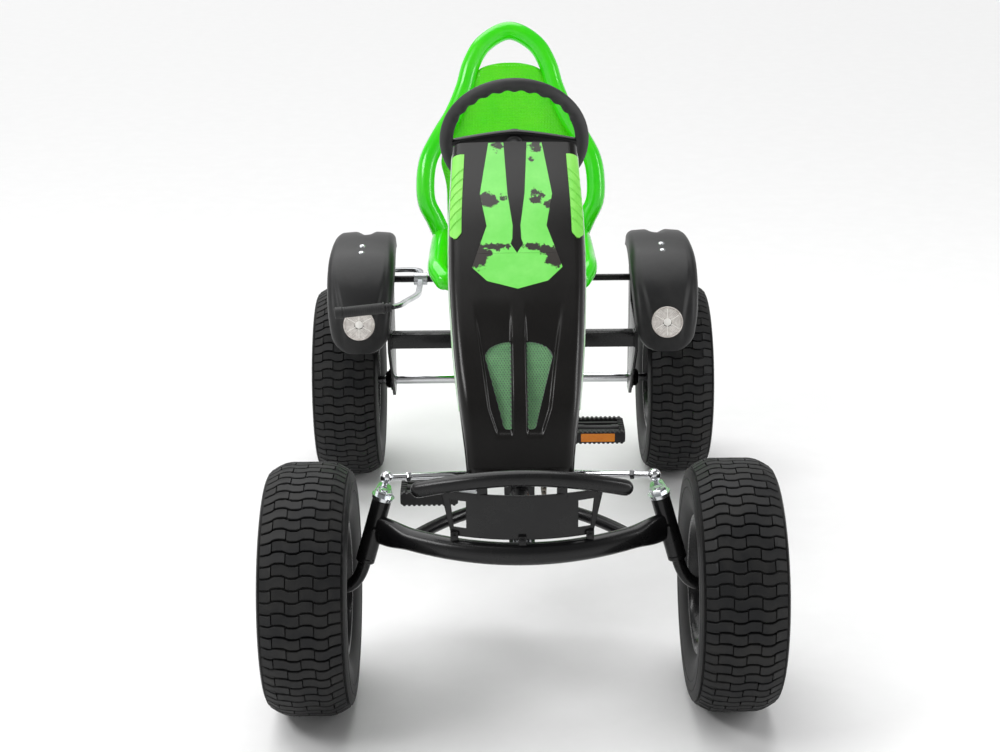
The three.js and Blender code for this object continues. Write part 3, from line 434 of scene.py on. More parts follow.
# %% Stage
floor_mesh = Mesh()
floor_mesh.rings([[(-12, -12, z), (12, -12, z), (12, 12, z), (-12, 12, z)] for z in (-0.01, 0)])
floor_data = bpy.data.meshes.new("studio_floor")
floor_data.from_pydata(floor_mesh.points, [], floor_mesh.faces)
floor = bpy.data.objects.new("studio_floor", floor_data)
bpy.context.scene.collection.objects.link(floor)
floor_data.materials.append(finish("pale floor", (0.86, 0.86, 0.86), (0.88, 0.88, 0.88), (0.55, 0.6), grain=60))

world = bpy.data.worlds.new("surround")
bpy.context.scene.world = world
world.use_nodes = True
sky = world.node_tree.nodes
sky["Background"].inputs["Color"].default_value = (1, 1, 1, 1)
direction = sky.new("ShaderNodeTexCoord")
height = sky.new("ShaderNodeSeparateXYZ")
dimming = sky.new("ShaderNodeMapRange")
dimming.inputs["From Min"].default_value, dimming.inputs["From Max"].default_value = 0.05, 0.5
dimming.inputs["To Min"].default_value, dimming.inputs["To Max"].default_value = 0.95, 0.26
world.node_tree.links.new(direction.outputs["Generated"], height.inputs["Vector"])
world.node_tree.links.new(height.outputs["Z"], dimming.inputs["Value"])
world.node_tree.links.new(dimming.outputs["Result"], sky["Background"].inputs["Strength"])


def soft_light(name, place, aim, size, power):
    lamp = bpy.data.lights.new(name, "AREA")
    lamp.shape = "RECTANGLE"
    lamp.size, lamp.size_y = size
    lamp.energy = power
    holder = bpy.data.objects.new(name, lamp)
    holder.location = place
    holder.rotation_euler = (Vector(aim) - Vector(place)).to_track_quat("-Z", "Y").to_euler()
    bpy.context.scene.collection.objects.link(holder)


soft_light("key", (-2.4, -1.2, 2.6), (0, 0, 0.4), (1.8, 0.7), 45)
soft_light("side", (2.6, -0.6, 1.6), (0, 0, 0.5), (0.4, 2.0), 26)
sun = bpy.data.lights.new("sun", "SUN")
sun.energy = 2.55
sun.angle = math.radians(65)
sun_holder = bpy.data.objects.new("sun", sun)
sun_holder.rotation_euler = Vector((0.35, -0.75, -1.5)).to_track_quat("-Z", "Y").to_euler()
bpy.context.scene.collection.objects.link(sun_holder)
bpy.context.scene.view_settings.view_transform = "Standard"

CAMERA_PLACE = Vector((-0.0456, front_y - 2.566, 1.411))
PITCH, YAW, ROLL = (math.radians(angle) for angle in (18.54, 0.317, -0.448))
FOCAL = 64.08  # mm, on a sensor 36 mm wide

forward = Vector((math.sin(YAW) * math.cos(PITCH), math.cos(YAW) * math.cos(PITCH), -math.sin(PITCH)))
level_right = Vector((math.cos(YAW), -math.sin(YAW), 0))
level_up = level_right.cross(forward)
right = level_right * math.cos(ROLL) + level_up * math.sin(ROLL)
up = level_up * math.cos(ROLL) - level_right * math.sin(ROLL)
lens = bpy.data.cameras.new("camera")
lens.lens = FOCAL
lens.sensor_width = 36
camera = bpy.data.objects.new("camera", lens)
camera.matrix_world = Matrix((
    (right.x, up.x, -forward.x, CAMERA_PLACE.x), (right.y, up.y, -forward.y, CAMERA_PLACE.y),
    (right.z, up.z, -forward.z, CAMERA_PLACE.z), (0, 0, 0, 1),
))
bpy.context.scene.collection.objects.link(camera)
bpy.context.scene.camera = camera

# %% [markdown]
# ## Tyres
# A turf tyre has a round-shouldered casing with rows of low rubber blocks. Each row is shifted by half a
# block from its neighbours, and the block edges follow one shared wave, which leaves an even groove. A
# displaced sheet would need millions of faces for crisp edges, so each block is its own small solid.

# %% Tyre shape
tyre_half = (front_axle[1].x - front_axle[0].x) / 2
TREAD_ROWS = 68
BLOCK_WIDTH = 0.042
GROOVE = 0.0034
BLOCK_HEIGHT = 0.0056
TREAD_EDGE = 0.061
WAVE = 0.0042
BEAD_RADIUS = 0.1025


def tread_radius(x):
    """Outer radius of the tread at a distance from its middle."""
    return tyre_radius - 0.0005 - 0.0095 * (max(0, abs(x) - 0.026) / 0.029) ** 2


def casing_profile():
    """Half of the casing, from the bead over the side to the middle, as (x, radius)."""
    side = [(0.040, BEAD_RADIUS), (0.0465, BEAD_RADIUS + 0.004), (0.052, 0.1105), (0.0595, 0.119), (0.0632, 0.128),
            (0.0660, 0.142), (0.0668, 0.152), (0.0655, 0.153), (0.0672, 0.154), (0.0672, 0.166), (0.0655, 0.167),
            (0.0668, 0.168), (0.0660, 0.178), (0.0635, 0.1835)]
    crown = [(x, tread_radius(x) - BLOCK_HEIGHT) for x in (0.058, 0.050, 0.040, 0.030, 0.020, 0.010)]
    return side + crown


def wave(x):
    """How far the grooves swing forward at a place across the tread."""
    share = (x / BLOCK_WIDTH + 0.25) % 1
    return -WAVE * ramp(min(share, 1 - share), 0.12, 0.36)


def tread_block(mesh, centre, low, high, angle, pitch):
    """One block between two sideways limits, with wavy front and rear edges."""
    stops = np.linspace(low + GROOVE / 2, high - GROOVE / 2, 9)
    rise = pitch / 2 - GROOVE / 2

    def edge(x, way, grow):
        return way * (rise + grow) + wave(x)

    layers = []
    for height, grow in ((-0.0012, 0.0009), (BLOCK_HEIGHT - 0.0007, 0.0), (BLOCK_HEIGHT, -0.0008)):
        ring = []
        for way, order in ((-1, stops), (1, stops[::-1])):
            for x in order:
                middle = (low + high) / 2
                sideways = x + math.copysign(grow, x - middle) * (abs(x - middle) > (high - low) * 0.4)
                radius = tread_radius(x) - BLOCK_HEIGHT + height
                turn = angle + edge(x, way, grow) / tyre_radius
                ring.append(centre + Vector((sideways, math.cos(turn) * radius, math.sin(turn) * radius)))
        layers.append(ring)
    mesh.rings(layers)


def tyre(name, body):
    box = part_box(name)
    centre = (box[0] + box[1]) / 2
    half = casing_profile()
    profile = half + [(0, tread_radius(0) - BLOCK_HEIGHT)] + [(-x, r) for x, r in reversed(half)]
    inner = [(-0.036, BEAD_RADIUS), (-0.052, 0.13), (-0.058, 0.16), (-0.045, 0.182), (0, 0.188), (0.045, 0.182),
             (0.058, 0.16), (0.052, 0.13), (0.036, BEAD_RADIUS)]
    casing = Mesh().turned(centre, (1, 0, 0), profile + inner, 120, closed=True)
    pitch = 2 * math.pi * tyre_radius / TREAD_ROWS
    for row in range(TREAD_ROWS):
        shift = BLOCK_WIDTH / 2 * (row % 2)
        first = -math.ceil(TREAD_EDGE / BLOCK_WIDTH) * BLOCK_WIDTH - shift
        edges = [first + i * BLOCK_WIDTH for i in range(6)]
        for low, high in zip(edges, edges[1:]):
            low, high = max(low, -TREAD_EDGE), min(high, TREAD_EDGE)
            if high - low > 0.008:
                tread_block(casing, centre, low, high, 2 * math.pi * row / TREAD_ROWS, pitch)
    return casing.make(name + "_tread", rubber, body, "tyre", (name,), smooth=38, weld=False)


for side, _ in SIDES:
    tyre("front_tyre_" + side, "front_wheel_" + side)
tyre("rear_tyre_left", "rear_axle")
piece = tyre("rear_tyre_right", "free_wheel")
print("tyre faces", len(piece.data.polygons))

# %% [markdown]
# ## Wheels
# The wheels are pressed steel: a barrel with a rolled flange at each edge, a deep well between the bead
# seats and a dished disc with a hub tube. One lathe profile gives all of that; nuts and the
# valve are added where a fitter would look for them.

# %% Rims
def rim(name, body, bore, outward):
    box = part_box(name)
    centre = (box[0] + box[1]) / 2
    half = (box[1].x - box[0].x) / 2
    flange = [(half - 0.002, 0.1115), (half, 0.1095), (half - 0.0005, 0.106), (half - 0.005, 0.1025),
              (half - 0.012, 0.1005), (half - 0.022, 0.0995), (half - 0.027, 0.0915)]
    barrel = flange + [(-x, r) for x, r in reversed(flange)]
    inner_flange = [(x - 0.0002, r - 0.0028) for x, r in flange[1:]]
    disc_out = [(0.0265, 0.0887), (0.0215, 0.085), (0.0165, 0.078), (0.0125, 0.066), (0.0155, 0.054), (0.0195, 0.044),
                (0.0195, 0.031), (0.022, 0.0275), (0.034, 0.0268)]
    disc_in = [(-0.034, 0.0268), (-0.004, 0.0275), (-0.001, 0.031), (0.012, 0.040), (0.0095, 0.054), (0.006, 0.066),
               (0.010, 0.078), (0.0155, 0.0885)]
    inside = [(-x, r) for x, r in inner_flange] + [(-(half - 0.029), 0.0887), *reversed(disc_in)]
    outside = [*reversed(disc_out), (half - 0.029, 0.0887), *reversed(inner_flange)]
    profile = barrel + inside + [(-0.034, bore), (0.034, bore)] + outside
    wheel = Mesh().turned(centre, (outward, 0, 0), profile, 72, closed=True)
    for i in range(4):
        angle = math.pi / 4 + i * math.pi / 2
        spot = centre + Vector((outward * 0.0193, 0.038 * math.cos(angle), 0.038 * math.sin(angle)))
        wheel.bolt(spot, (outward, 0, 0), 0.0062, 0.0055)
    valve_foot = centre + Vector((outward * 0.026, 0.094 * math.cos(2.2), 0.094 * math.sin(2.2)))
    valve_tip = valve_foot + Vector((outward * 0.022, -0.006 * math.cos(2.2), -0.006 * math.sin(2.2)))
    wheel.rod(valve_foot, valve_tip, 0.0038, 14)
    return wheel.make(name + "_pressing", black_paint, body, "black_paint", (name,), smooth=30)


for side, sign in SIDES:
    rim("front_rim_" + side, "front_wheel_" + side, 0.0106, sign)
    rim("rear_rim_" + side, "rear_axle" if side == "left" else "free_wheel", 0.0106, sign)
print("rims done")

# %% [markdown]
# ## Front axle
# The front axle is one bowed tube welded between two sloping kingpin housings. It swings on a pivot, so a
# second, thinner bow and a sleeve tie it to the frame. Swept tubes follow the same curves as the frame model;
# near the housings the tube is pressed taller, which its section shows.

# %% Axle beam and housings
kingpin = {side: pivot("kingpin_" + side) for side, _ in SIDES}
kingpin_up = {side: axis_of("kingpin_" + side) for side, _ in SIDES}
kingpin_x = kingpin["left"].x
kingpin_z = kingpin["left"].z
BEAM_RADIUS = 0.0175
BEAM_BOW = 0.1
HOUSING_HALF = 0.05

beam_end_x = kingpin_x - 0.0115
beam_path = [
    point for point in bezier((-kingpin_x, front_y, kingpin_z), (0, front_y - 2 * BEAM_BOW, kingpin_z - 0.004),
                              (kingpin_x, front_y, kingpin_z), 81) if abs(point.x) <= beam_end_x
]
beam_sections = []
for point in beam_path:
    pressed = ramp(abs(point.x), kingpin_x - 0.062, kingpin_x - 0.02)
    beam_sections.append(oval(BEAM_RADIUS - 0.004 * pressed, BEAM_RADIUS + 0.006 * pressed, 28))
beam = Mesh().swept(beam_path, beam_sections, up=Vector((0, 0, 1)))
for side, sign in SIDES:
    bead = [kingpin[side] + Vector((-sign * 0.0165, math.cos(a) * 0.0145, math.sin(a) * 0.0235))
            for a in (2 * math.pi * i / 40 for i in range(40))]
    beam.tube(bead, 0.0022, 8, loop=True)
beam.make("axle_beam_tube", black_paint, "front_axle", "black_paint", ("axle_beam",))

for side, sign in SIDES:
    up_way = kingpin_up[side]
    sleeve_profile = [(-HOUSING_HALF, 0.0106), (-HOUSING_HALF, 0.0145), (-HOUSING_HALF + 0.0006, 0.0151)]
    sleeve_profile += [(HOUSING_HALF - 0.0006, 0.0151), (HOUSING_HALF, 0.0145), (HOUSING_HALF, 0.0106)]
    housing = Mesh().turned(kingpin[side], up_way, sleeve_profile, 40, closed=True)
    nipple = kingpin[side] + Vector((0, -0.0145, 0)) + up_way * 0.004
    housing.rod(nipple, nipple + Vector((0, -0.006, 0)), 0.0028, 10)
    housing.make("kingpin_housing_%s_sleeve" % side, black_paint, "front_axle", "black_paint",
                 ("kingpin_housing_" + side,))

# %% [markdown]
# The brace, the pivot sleeve and its two cheeks are one welding. The sleeve's bore is what the axle swings
# on; the nut and washer in front of it belong to the frame's pivot pin.

# %% Brace and pivot
pendulum = pivot("axle_pendulum")
sleeve_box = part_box("axle_brace")
brace_end = 0.173
brace_end_y = -BEAM_BOW * (1 - (brace_end / kingpin_x) ** 2)
brace = Mesh().tube(bezier((-brace_end, front_y + brace_end_y, pendulum.z),
                           (0, front_y + 0.184 - brace_end_y, pendulum.z),
                           (brace_end, front_y + brace_end_y, pendulum.z), 61), 0.01, 20)
rear_face = sleeve_box[1].y
front_face = front_y - 0.038
sleeve = [(0, 0.0096), (0, 0.0162), (0.0008, 0.017)]
reach = rear_face - front_face
brace.turned((0, front_face, pendulum.z), (0, 1, 0), sleeve + [(reach - 0.0008, 0.017), (reach, 0.0162),
                                                              (reach, 0.0096)], 36, closed=True)
for _, sign in SIDES:
    outline = [(0, -0.012), (0.092, -0.012), (0.092, 0.008), (0.084, 0.012), (0, 0.012)]
    start = Vector((sign * 0.0165 - 0.002, front_y - BEAM_BOW + BEAM_RADIUS - 0.002, pendulum.z))
    brace.prism(outline, start + Vector((0.004, 0, 0)), (0, 1, 0), (0, 0, 1), -0.004)
brace.make("axle_brace_welding", black_paint, "front_axle", "black_paint", ("axle_brace",))

pin_front = Vector((0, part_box("pivot_nut")[1].y, pendulum.z))
pivot_nut = Mesh().bolt(pin_front + Vector((0, 0.0004, 0)), (0, -1, 0), 0.0128, 0.0082)
pivot_nut.make("pivot_nut_hex", zinc, "frame", "zinc", ("pivot_nut",), smooth=25)

# %% [markdown]
# ## Knuckles, steering arms and tie rods
# A knuckle is one bent round bar: its upper end is the kingpin, its lower end the stub axle of the wheel. The
# plated steering arm is clamped on top of it and carries the ball of the tie rod.

# %% Knuckles and arms
for side, sign in SIDES:
    up_way = kingpin_up[side]
    centre = kingpin[side]
    stub = pivot("front_wheel_%s_spin" % side)
    low = centre - up_way * (HOUSING_HALF + 0.012)
    corner = centre - up_way * ((centre.z - stub.z) / up_way.z)
    straight = Vector((corner.x + sign * 0.026, front_y, stub.z))
    end = Vector((stub.x + sign * 0.044, front_y, stub.z))
    top = centre + up_way * (HOUSING_HALF + 0.007)
    bar = [top, low] + bezier(low, corner, straight, 16)[1:] + [end]
    knuckle = Mesh().tube(evenly(bar, 60), 0.01, 24)
    flange = [(0, 0.009), (0, 0.0142), (0.0008, 0.015), (0.0066, 0.015), (0.0075, 0.0142), (0.0075, 0.009)]
    knuckle.turned(centre - up_way * (HOUSING_HALF + 0.008), up_way, flange, 32, closed=True)
    knuckle.bolt(Vector((stub.x + sign * 0.0345, front_y, stub.z)), (sign, 0, 0), 0.0125, 0.0085)
    knuckle.make("knuckle_%s_bar" % side, black_paint, "knuckle_" + side, "black_paint", ("knuckle_" + side,))

    foot = centre + up_way * (HOUSING_HALF + 0.0006)
    across = Vector((0, 1, 0)).cross(up_way).normalized()
    outline = [(0.0165 * math.sin(a), -0.0165 * math.cos(a)) for a in np.linspace(-1.75, 1.75, 15)]
    outline += [(0.0105 * math.sin(a), 0.045 - 0.0105 * math.cos(a)) for a in np.linspace(1.72, 4.56, 13)]
    arm = Mesh().prism(outline, foot, across, (0, 1, 0), -0.0058 if across.cross(Vector((0, 1, 0))).dot(up_way) < 0
                       else 0.0058)
    arm.bolt(foot + up_way * 0.0058, up_way, 0.0125, 0.0075)
    ball = pivot("tie_ball_" + side)
    arm.rod(Vector(foot) + Vector((0, 0.045, 0)) - up_way * 0.005, ball - up_way * 0.004, 0.0042, 16)
    arm.make("steering_arm_%s_plate" % side, zinc, "knuckle_" + side, "zinc", ("steering_arm_" + side,))

# %% [markdown]
# The tie rods end in polished ball joints: a round housing with a flat cap, a neck, a lock nut and then the
# plated rod. They are the brightest thing on the front of the kart.

# %% Tie rods
for side, sign in SIDES:
    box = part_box("tie_rod_" + side)
    ball = pivot("tie_ball_" + side)
    inner_x = box[0].x if sign > 0 else box[1].x
    rod_points = np.array([vertex.co for vertex in frame["nodes"]["tie_rod_" + side].data.vertices])
    near_end = rod_points[np.abs(rod_points[:, 0] - inner_x) < 0.004]
    inner = Vector(near_end.mean(axis=0))
    way = (inner - ball).normalized()
    length = (inner - ball).length
    up_way = kingpin_up[side]
    joint = Mesh()
    cap = [(-0.0102, 0), (-0.0095, 0.0042)]
    cap += [(0.0102 * math.sin(a), 0.0102 * math.cos(a)) for a in np.linspace(-1.0, 1.0, 13)]
    joint.turned(ball, up_way, cap + [(0.0096, 0.0042), (0.0102, 0)], 32)
    joint.rod(ball + way * 0.007, ball + way * 0.032, 0.0056, 20)
    joint.turned(ball + way * 0.0325, way, [(0, 0.004), (0, 0.0072), (0.0008, 0.0081), (0.0062, 0.0081),
                                            (0.007, 0.0072), (0.007, 0.004)], 6, closed=True)
    joint.rod(ball + way * 0.039, ball + way * length, 0.0058, 24)
    joint.make("tie_rod_%s_polished" % side, polished, "tie_rod_" + side, "zinc", ("tie_rod_" + side,))

# %% [markdown]
# ## Bumper
# The bumper plate is bent to the bow of the axle and has two slanted windows. It is laid out as columns and
# rows whose lines already follow the window edges, so leaving cells out gives clean openings; a solidify
# step then gives the sheet its thickness.

# %% Bumper plate and bar
def bow(x):
    return -0.1 * (1 - (x / kingpin_x) ** 2)


plate_low = kingpin_z + BEAM_RADIUS + 0.003
plate_top = plate_low + 0.072
bar_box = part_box("bumper_bar")
columns = [(0, 0), (0.085, 0.085), (0.103, 0.111), (0.108, 0.124)]
rows = [plate_low, plate_low + 0.014, plate_top - 0.014, plate_top]


def between(stops, steps):
    out = []
    for first, second in zip(stops, stops[1:]):
        out += [tuple(np.array(first) + (np.array(second) - np.array(first)) * i / steps) for i in range(steps)]
    return out + [tuple(np.array(stops[-1]))]


column_lines = between(columns, 6)
column_lines = [(-low, -top) for low, top in reversed(column_lines[1:])] + column_lines
row_lines = [float(np.atleast_1d(row)[0]) for row in between([(row,) for row in rows], 3)]
plate = Mesh()
grid = []
for row in row_lines:
    share = (row - plate_low) / (plate_top - plate_low)
    line = [low + (top - low) * share for low, top in column_lines]
    grid.append(plate.add([(x, front_y + bow(x), row) for x in line]))
for r in range(len(row_lines) - 1):
    for c in range(len(column_lines) - 1):
        middle = sum(abs(column_lines[c + i][0]) for i in (0, 1)) / 2
        if 3 <= r < 6 and 0.085 < middle < 0.103:
            continue
        first, second = grid[r] + c, grid[r + 1] + c
        plate.faces.append((first, first + 1, second + 1, second))
plate.make("bumper_plate_sheet", black_paint, "front_axle", "black_paint", ("bumper_plate",), bevel=0.0006, thick=0.003)

feet = Mesh()
for x in (-0.103, 0, 0.103):
    spot = Vector((x, front_y + bow(x) - 0.006, plate_low + 0.001))
    feet.prism([(-0.006, -0.008), (0.006, -0.008), (0.006, 0.007), (-0.006, 0.007)], spot + Vector((0, 0.009, 0)),
               (1, 0, 0), (0, 0, 1), 0.009)
    feet.bolt(spot, (0, -1, 0), 0.0036, 0.0030)
for x in (-0.06, 0.06):
    spot = Vector((x, front_y + bow(x) + 0.004, plate_top + 0.006))
    feet.prism([(-0.008, -0.014), (0.008, -0.014), (0.008, 0.010), (-0.008, 0.010)], spot, (1, 0, 0), (0, 0, 1), 0.003)
feet.make("bumper_feet", black_paint, "front_axle", "black_paint")

bar_end = bar_box[1].x - 0.012
bar_top = bar_box[1].z - 0.0125
bar_y = front_y - 0.105
ends = {sign: Vector((sign * bar_end, front_y + bow(0.169) - 0.022, bar_top - 0.033)) for sign in (-1, 1)}
top_middle = Vector((0, bar_y, bar_top))
left_half = bezier(ends[-1], (-0.07, bar_y, bar_top), top_middle, 30)
right_half = bezier(top_middle, (0.07, bar_y, bar_top), ends[1], 30)
bumper = Mesh().tube(left_half[1:] + right_half[1:-1], 0.0125, 28, rounded=True)
bumper.make("bumper_bar_tube", black_paint, "front_axle", "black_paint", ("bumper_bar",))

# %% [markdown]
# ## Steering wheel
# The wheel is one moulding: a round rim with finger scallops along the inside of its upper part, a gloss
# spoke bar arched in the middle and a boss on the shaft. The rim is a ring of rings, so the scallops can be
# pressed into exactly the inner side.

# %% Steering wheel
hub = pivot("steer")
column_up = axis_of("steer")
wheel_right = Vector((1, 0, 0))
wheel_up = wheel_right.cross(column_up) * -1
if wheel_up.z < 0:
    wheel_up = -wheel_up
RING = 0.1203
GRIP = 0.0122
SCALLOP = math.radians(13)
PRESS_SIDE = math.radians(222)  # round the rim's section: inwards and towards the bonnet


def scallop(angle):
    """Depth of the finger grips at an angle from the top of the wheel."""
    share = 0.5 - 0.5 * math.cos(2 * math.pi * angle / SCALLOP)
    return 0.0034 * share * (1 - ramp(abs(angle), math.radians(62), math.radians(70)))


rings = []
for i in range(300):
    angle = 2 * math.pi * i / 300
    from_top = (angle + math.pi) % (2 * math.pi) - math.pi
    out = wheel_right * math.sin(angle) + wheel_up * math.cos(angle)
    ring = []
    for j in range(22):
        a = 2 * math.pi * j / 22
        press = scallop(from_top) * max(0, math.cos(a - PRESS_SIDE)) ** 1.5
        ring.append(hub + out * (RING + (GRIP - press) * math.cos(a)) + column_up * ((GRIP - press) * math.sin(a)))
    rings.append(ring)
steering = Mesh().rings(rings, loop=True)
steering.turned(hub - column_up * 0.022, column_up, [
    (0, 0), (0, 0.0125), (0.001, 0.0135), (0.012, 0.0135), (0.022, 0.0215), (0.028, 0.0215), (0.0305, 0.018),
    (0.0315, 0)], 40)
steering.make("steering_wheel_rim", grip_black, "steering_wheel", "grip_black", ("steering_wheel",))

spoke = Mesh()
spoke_rings = []
for x in np.linspace(-0.1165, 0.1165, 61):
    share = 1 - (abs(x) / 0.1165) ** 1.35
    tall, deep = 0.0050 + 0.0105 * share, 0.0066
    middle = hub + wheel_right * x + wheel_up * (tall - 0.0080) - column_up * 0.001
    spoke_rings.append([middle + wheel_up * b + column_up * a for a, b in squared(deep, tall, 0.005)])
spoke.rings(spoke_rings)
stem = [hub - wheel_up * (0.02 + 0.0925 * t) + column_up * 0.0005 for t in np.linspace(0, 1, 12)]
spoke.swept(stem, squared(0.0145, 0.0048, 0.0035), up=column_up)
spoke.make("steering_wheel_spokes", black_paint, "steering_wheel", "grip_black")

for node, edge in (("steering_shaft", 0.0006), ("steering_lower_shaft", 0.0006)):
    refined(node, zinc, edge)
for node in ("column_post", "column_bracket"):
    refined(node, black_paint, 0.001)

# %% [markdown]
# ## Bonnet
# The bonnet is one long vacuum-formed shell: narrow and steep at the nose, wide towards the driver. Its
# surface is described by a place on its length and a place across, so that the shell, the pressed scoops
# round the grilles, the graphics and the vents all use one function and lie on each other exactly.

# %% Bonnet surface
post_top = pivot("steer")
nose_y, nose_z = front_y + 0.060, pendulum.z + 0.073
tail_y, tail_z = hub.y - 0.085, hub.z + 0.012
RISE = [(0, 0), (0.108, 0.231), (0.241, 0.38), (0.398, 0.525), (0.578, 0.679), (0.759, 0.826), (1, 1)]
bonnet_line = evenly(spline([
    (0, nose_y + (tail_y - nose_y) * back, nose_z + (tail_z - nose_z) * rise) for back, rise in RISE
], 60), 401)
BONNET_HALF = ([0, 0.08, 0.2, 0.34, 0.55, 0.74, 1], [0.082, 0.089, 0.097, 0.105, 0.112, 0.113, 0.107])
BONNET_DEEP = ([0, 0.08, 0.2, 0.34, 0.55, 1], [0.010, 0.016, 0.044, 0.066, 0.076, 0.070])
SHOULDER = 0.017
CROWN = 0.004
GRILLE_LOW, GRILLE_TOP = 0.105, 0.345


def smooth_table(table, share):
    """A rounded reading of a table of (share, value): the mean of a few nearby readings."""
    near = [np.interp(min(max(share + step, 0), 1), *table) for step in (-0.06, -0.03, 0, 0.03, 0.06)]
    return float(np.mean(near))


def bonnet_station(share):
    place = min(max(share, 0), 1) * (len(bonnet_line) - 1)
    i = min(int(place), len(bonnet_line) - 2)
    point = bonnet_line[i].lerp(bonnet_line[i + 1], place - i)
    way = (bonnet_line[i + 1] - bonnet_line[i]).normalized()
    return point, Vector((0, -way.z, way.y))


def scoop(x, share):
    """Depth of the pressed hollow round each grille, with a ridge left standing in the middle."""
    inner = 0.0095
    outer = float(np.interp(share, [0.09, 0.16, 0.30, 0.47], [0.036, 0.050, 0.060, 0.074]))
    across = ramp(abs(x), inner, inner + 0.005) * (1 - ramp(abs(x), outer - 0.004, outer + 0.002))
    lengthwise = ramp(share, 0.084, 0.104) * (1 - ramp(share, 0.34, 0.47))
    return 0.0062 * across * lengthwise


def bonnet_point(x, share, out=0):
    """A point on the top of the bonnet, x from its middle, at a share of its length."""
    point, normal = bonnet_station(share)
    half = smooth_table(BONNET_HALF, share)
    over = abs(x) - (half - SHOULDER)
    height = CROWN * (1 - (abs(x) / half) ** 2)
    if over > 0:
        height -= SHOULDER * (1 - math.sqrt(max(0, 1 - min(over / SHOULDER, 1) ** 2)))
    return point + Vector((x, 0, 0)) + normal * (height - scoop(x, share) + out)


def bonnet_section(share):
    point, normal = bonnet_station(share)
    half = smooth_table(BONNET_HALF, share)
    deep = smooth_table(BONNET_DEEP, share)
    flat = half - SHOULDER
    corner = min(SHOULDER, deep * 0.8)
    right_side = [(x, None) for x in np.linspace(0, flat, 46)[1:]]
    top = []
    for x, _ in right_side:
        top.append((x, CROWN * (1 - (x / half) ** 2) - scoop(x, share)))
    start = CROWN * (1 - (flat / half) ** 2)
    for a in np.linspace(0, math.pi / 2, 9)[1:]:
        top.append((flat + SHOULDER * math.sin(a), start - corner * (1 - math.cos(a))))
    for t in np.linspace(0, 1, 9)[1:]:
        top.append((half + 0.002 * math.sin(math.pi * t), start - corner - (deep - corner) * t))
    section = [(-x, h) for x, h in reversed(top)] + [(0, CROWN - scoop(0, share))] + top
    return [point + Vector((x, 0, 0)) + normal * h for x, h in section]


# The rear edge stops in front of the steering wheel, cut parallel to it.
def before_wheel(share):
    point, _ = bonnet_station(share)
    return (point - hub).dot(column_up) < -0.036


last_share = max(share for share in np.linspace(0.9, 1, 101) if before_wheel(share))
shares = list(np.linspace(0, last_share, 130))
print("bonnet ends at share", round(last_share, 3))

# %% [markdown]
# The grille openings are cut with a boolean: a prism of the grille's outline is pushed through the shell.
# Its outline is rounded at the top and slants inwards towards the nose.

# %% Bonnet shell
def grille_outline(sign, inset=0.0):
    length = (bonnet_line[-1] - bonnet_line[0]).length and 0.6157 * (GRILLE_TOP - GRILLE_LOW)
    low, high = inset, length - inset
    near, far = 0.0125 + inset, 0.055 - inset
    foot = far - 0.028
    points = [(near, low + 0.0015), (near + 0.0015, low)]
    points += [(foot - 0.008 + 0.008 * math.sin(a), low + 0.008 - 0.008 * math.cos(a))
               for a in np.linspace(0, 1.25, 6)]
    points += [(foot + (far - foot) * t, low + 0.008 + (high - low - 0.034) * t) for t in (0.05, 0.5, 1)]
    points += [(near + (far - near) * math.cos(a), high - 0.026 + 0.026 * math.sin(a))
               for a in np.linspace(0.12, math.pi / 2, 12)]
    return [(sign * a, b) for a, b in points]


grille_foot, _ = bonnet_station(GRILLE_LOW)
grille_head, _ = bonnet_station(GRILLE_TOP)
grille_up = (grille_head - grille_foot).normalized()
grille_out = Vector((0, -grille_up.z, grille_up.y))

shell = Mesh()
section_starts = [shell.add(bonnet_section(share)) for share in shares]
across_count = len(bonnet_section(0.5))
for first, second in zip(section_starts, section_starts[1:]):
    shell.ring_faces(first, second, across_count, closed=False)
nose_end = shell.add([point - Vector((0, -0.001, 0.012)) for point in bonnet_section(0)])
shell.ring_faces(nose_end, section_starts[0], across_count, closed=False)
bonnet_piece = shell.make("bonnet_shell", bonnet_black, "frame", "black_plastic", ("bonnet",), smooth=50, thick=0.003)

for side, sign in SIDES:
    cutter_mesh = Mesh()
    outline = grille_outline(sign)
    rings = [[grille_foot + Vector((a, 0, 0)) + grille_up * b + grille_out * depth for a, b in outline]
             for depth in (-0.05, 0.05)]
    cutter_mesh.rings(rings)
    data = bpy.data.meshes.new("cutter")
    data.from_pydata(cutter_mesh.points, [], cutter_mesh.faces)
    work = bmesh.new()
    work.from_mesh(data)
    bmesh.ops.recalc_face_normals(work, faces=work.faces)
    work.to_mesh(data)
    work.free()
    cutter = bpy.data.objects.new("cutter", data)
    bpy.context.scene.collection.objects.link(cutter)
    opening = bonnet_piece.modifiers.new("opening", "BOOLEAN")
    opening.operation = "DIFFERENCE"
    opening.solver = "EXACT"
    opening.object = cutter
    apply_modifiers(bonnet_piece)
    bpy.data.objects.remove(cutter)
bonnet_piece.data.shade_smooth()
bonnet_piece.data.set_sharp_from_angle(angle=math.radians(50))
print("bonnet faces", len(bonnet_piece.data.polygons))

# %% [markdown]
# The grilles are expanded metal: a sheet slit and stretched into diamonds. Real strands are laid in two
# directions and stopped at the outline, which shows light through the gaps as the real sheet does.

# %% Grille mesh
DIAMOND = 0.0048
STRAND = 0.0019


def inside_spans(outline, origin, way):
    """Where a line crosses an outline, as (from, to) distances along the line."""
    crossings = []
    for (ax, ay), (bx, by) in zip(outline, outline[1:] + outline[:1]):
        ex, ey = bx - ax, by - ay
        det = way[0] * -ey + way[1] * ex
        if abs(det) < 1e-12:
            continue
        t = ((ax - origin[0]) * -ey + (ay - origin[1]) * ex) / det
        u = (way[0] * (ay - origin[1]) - way[1] * (ax - origin[0])) / det
        if 0 <= u < 1:
            crossings.append(t)
    crossings.sort()
    return list(zip(crossings[::2], crossings[1::2]))


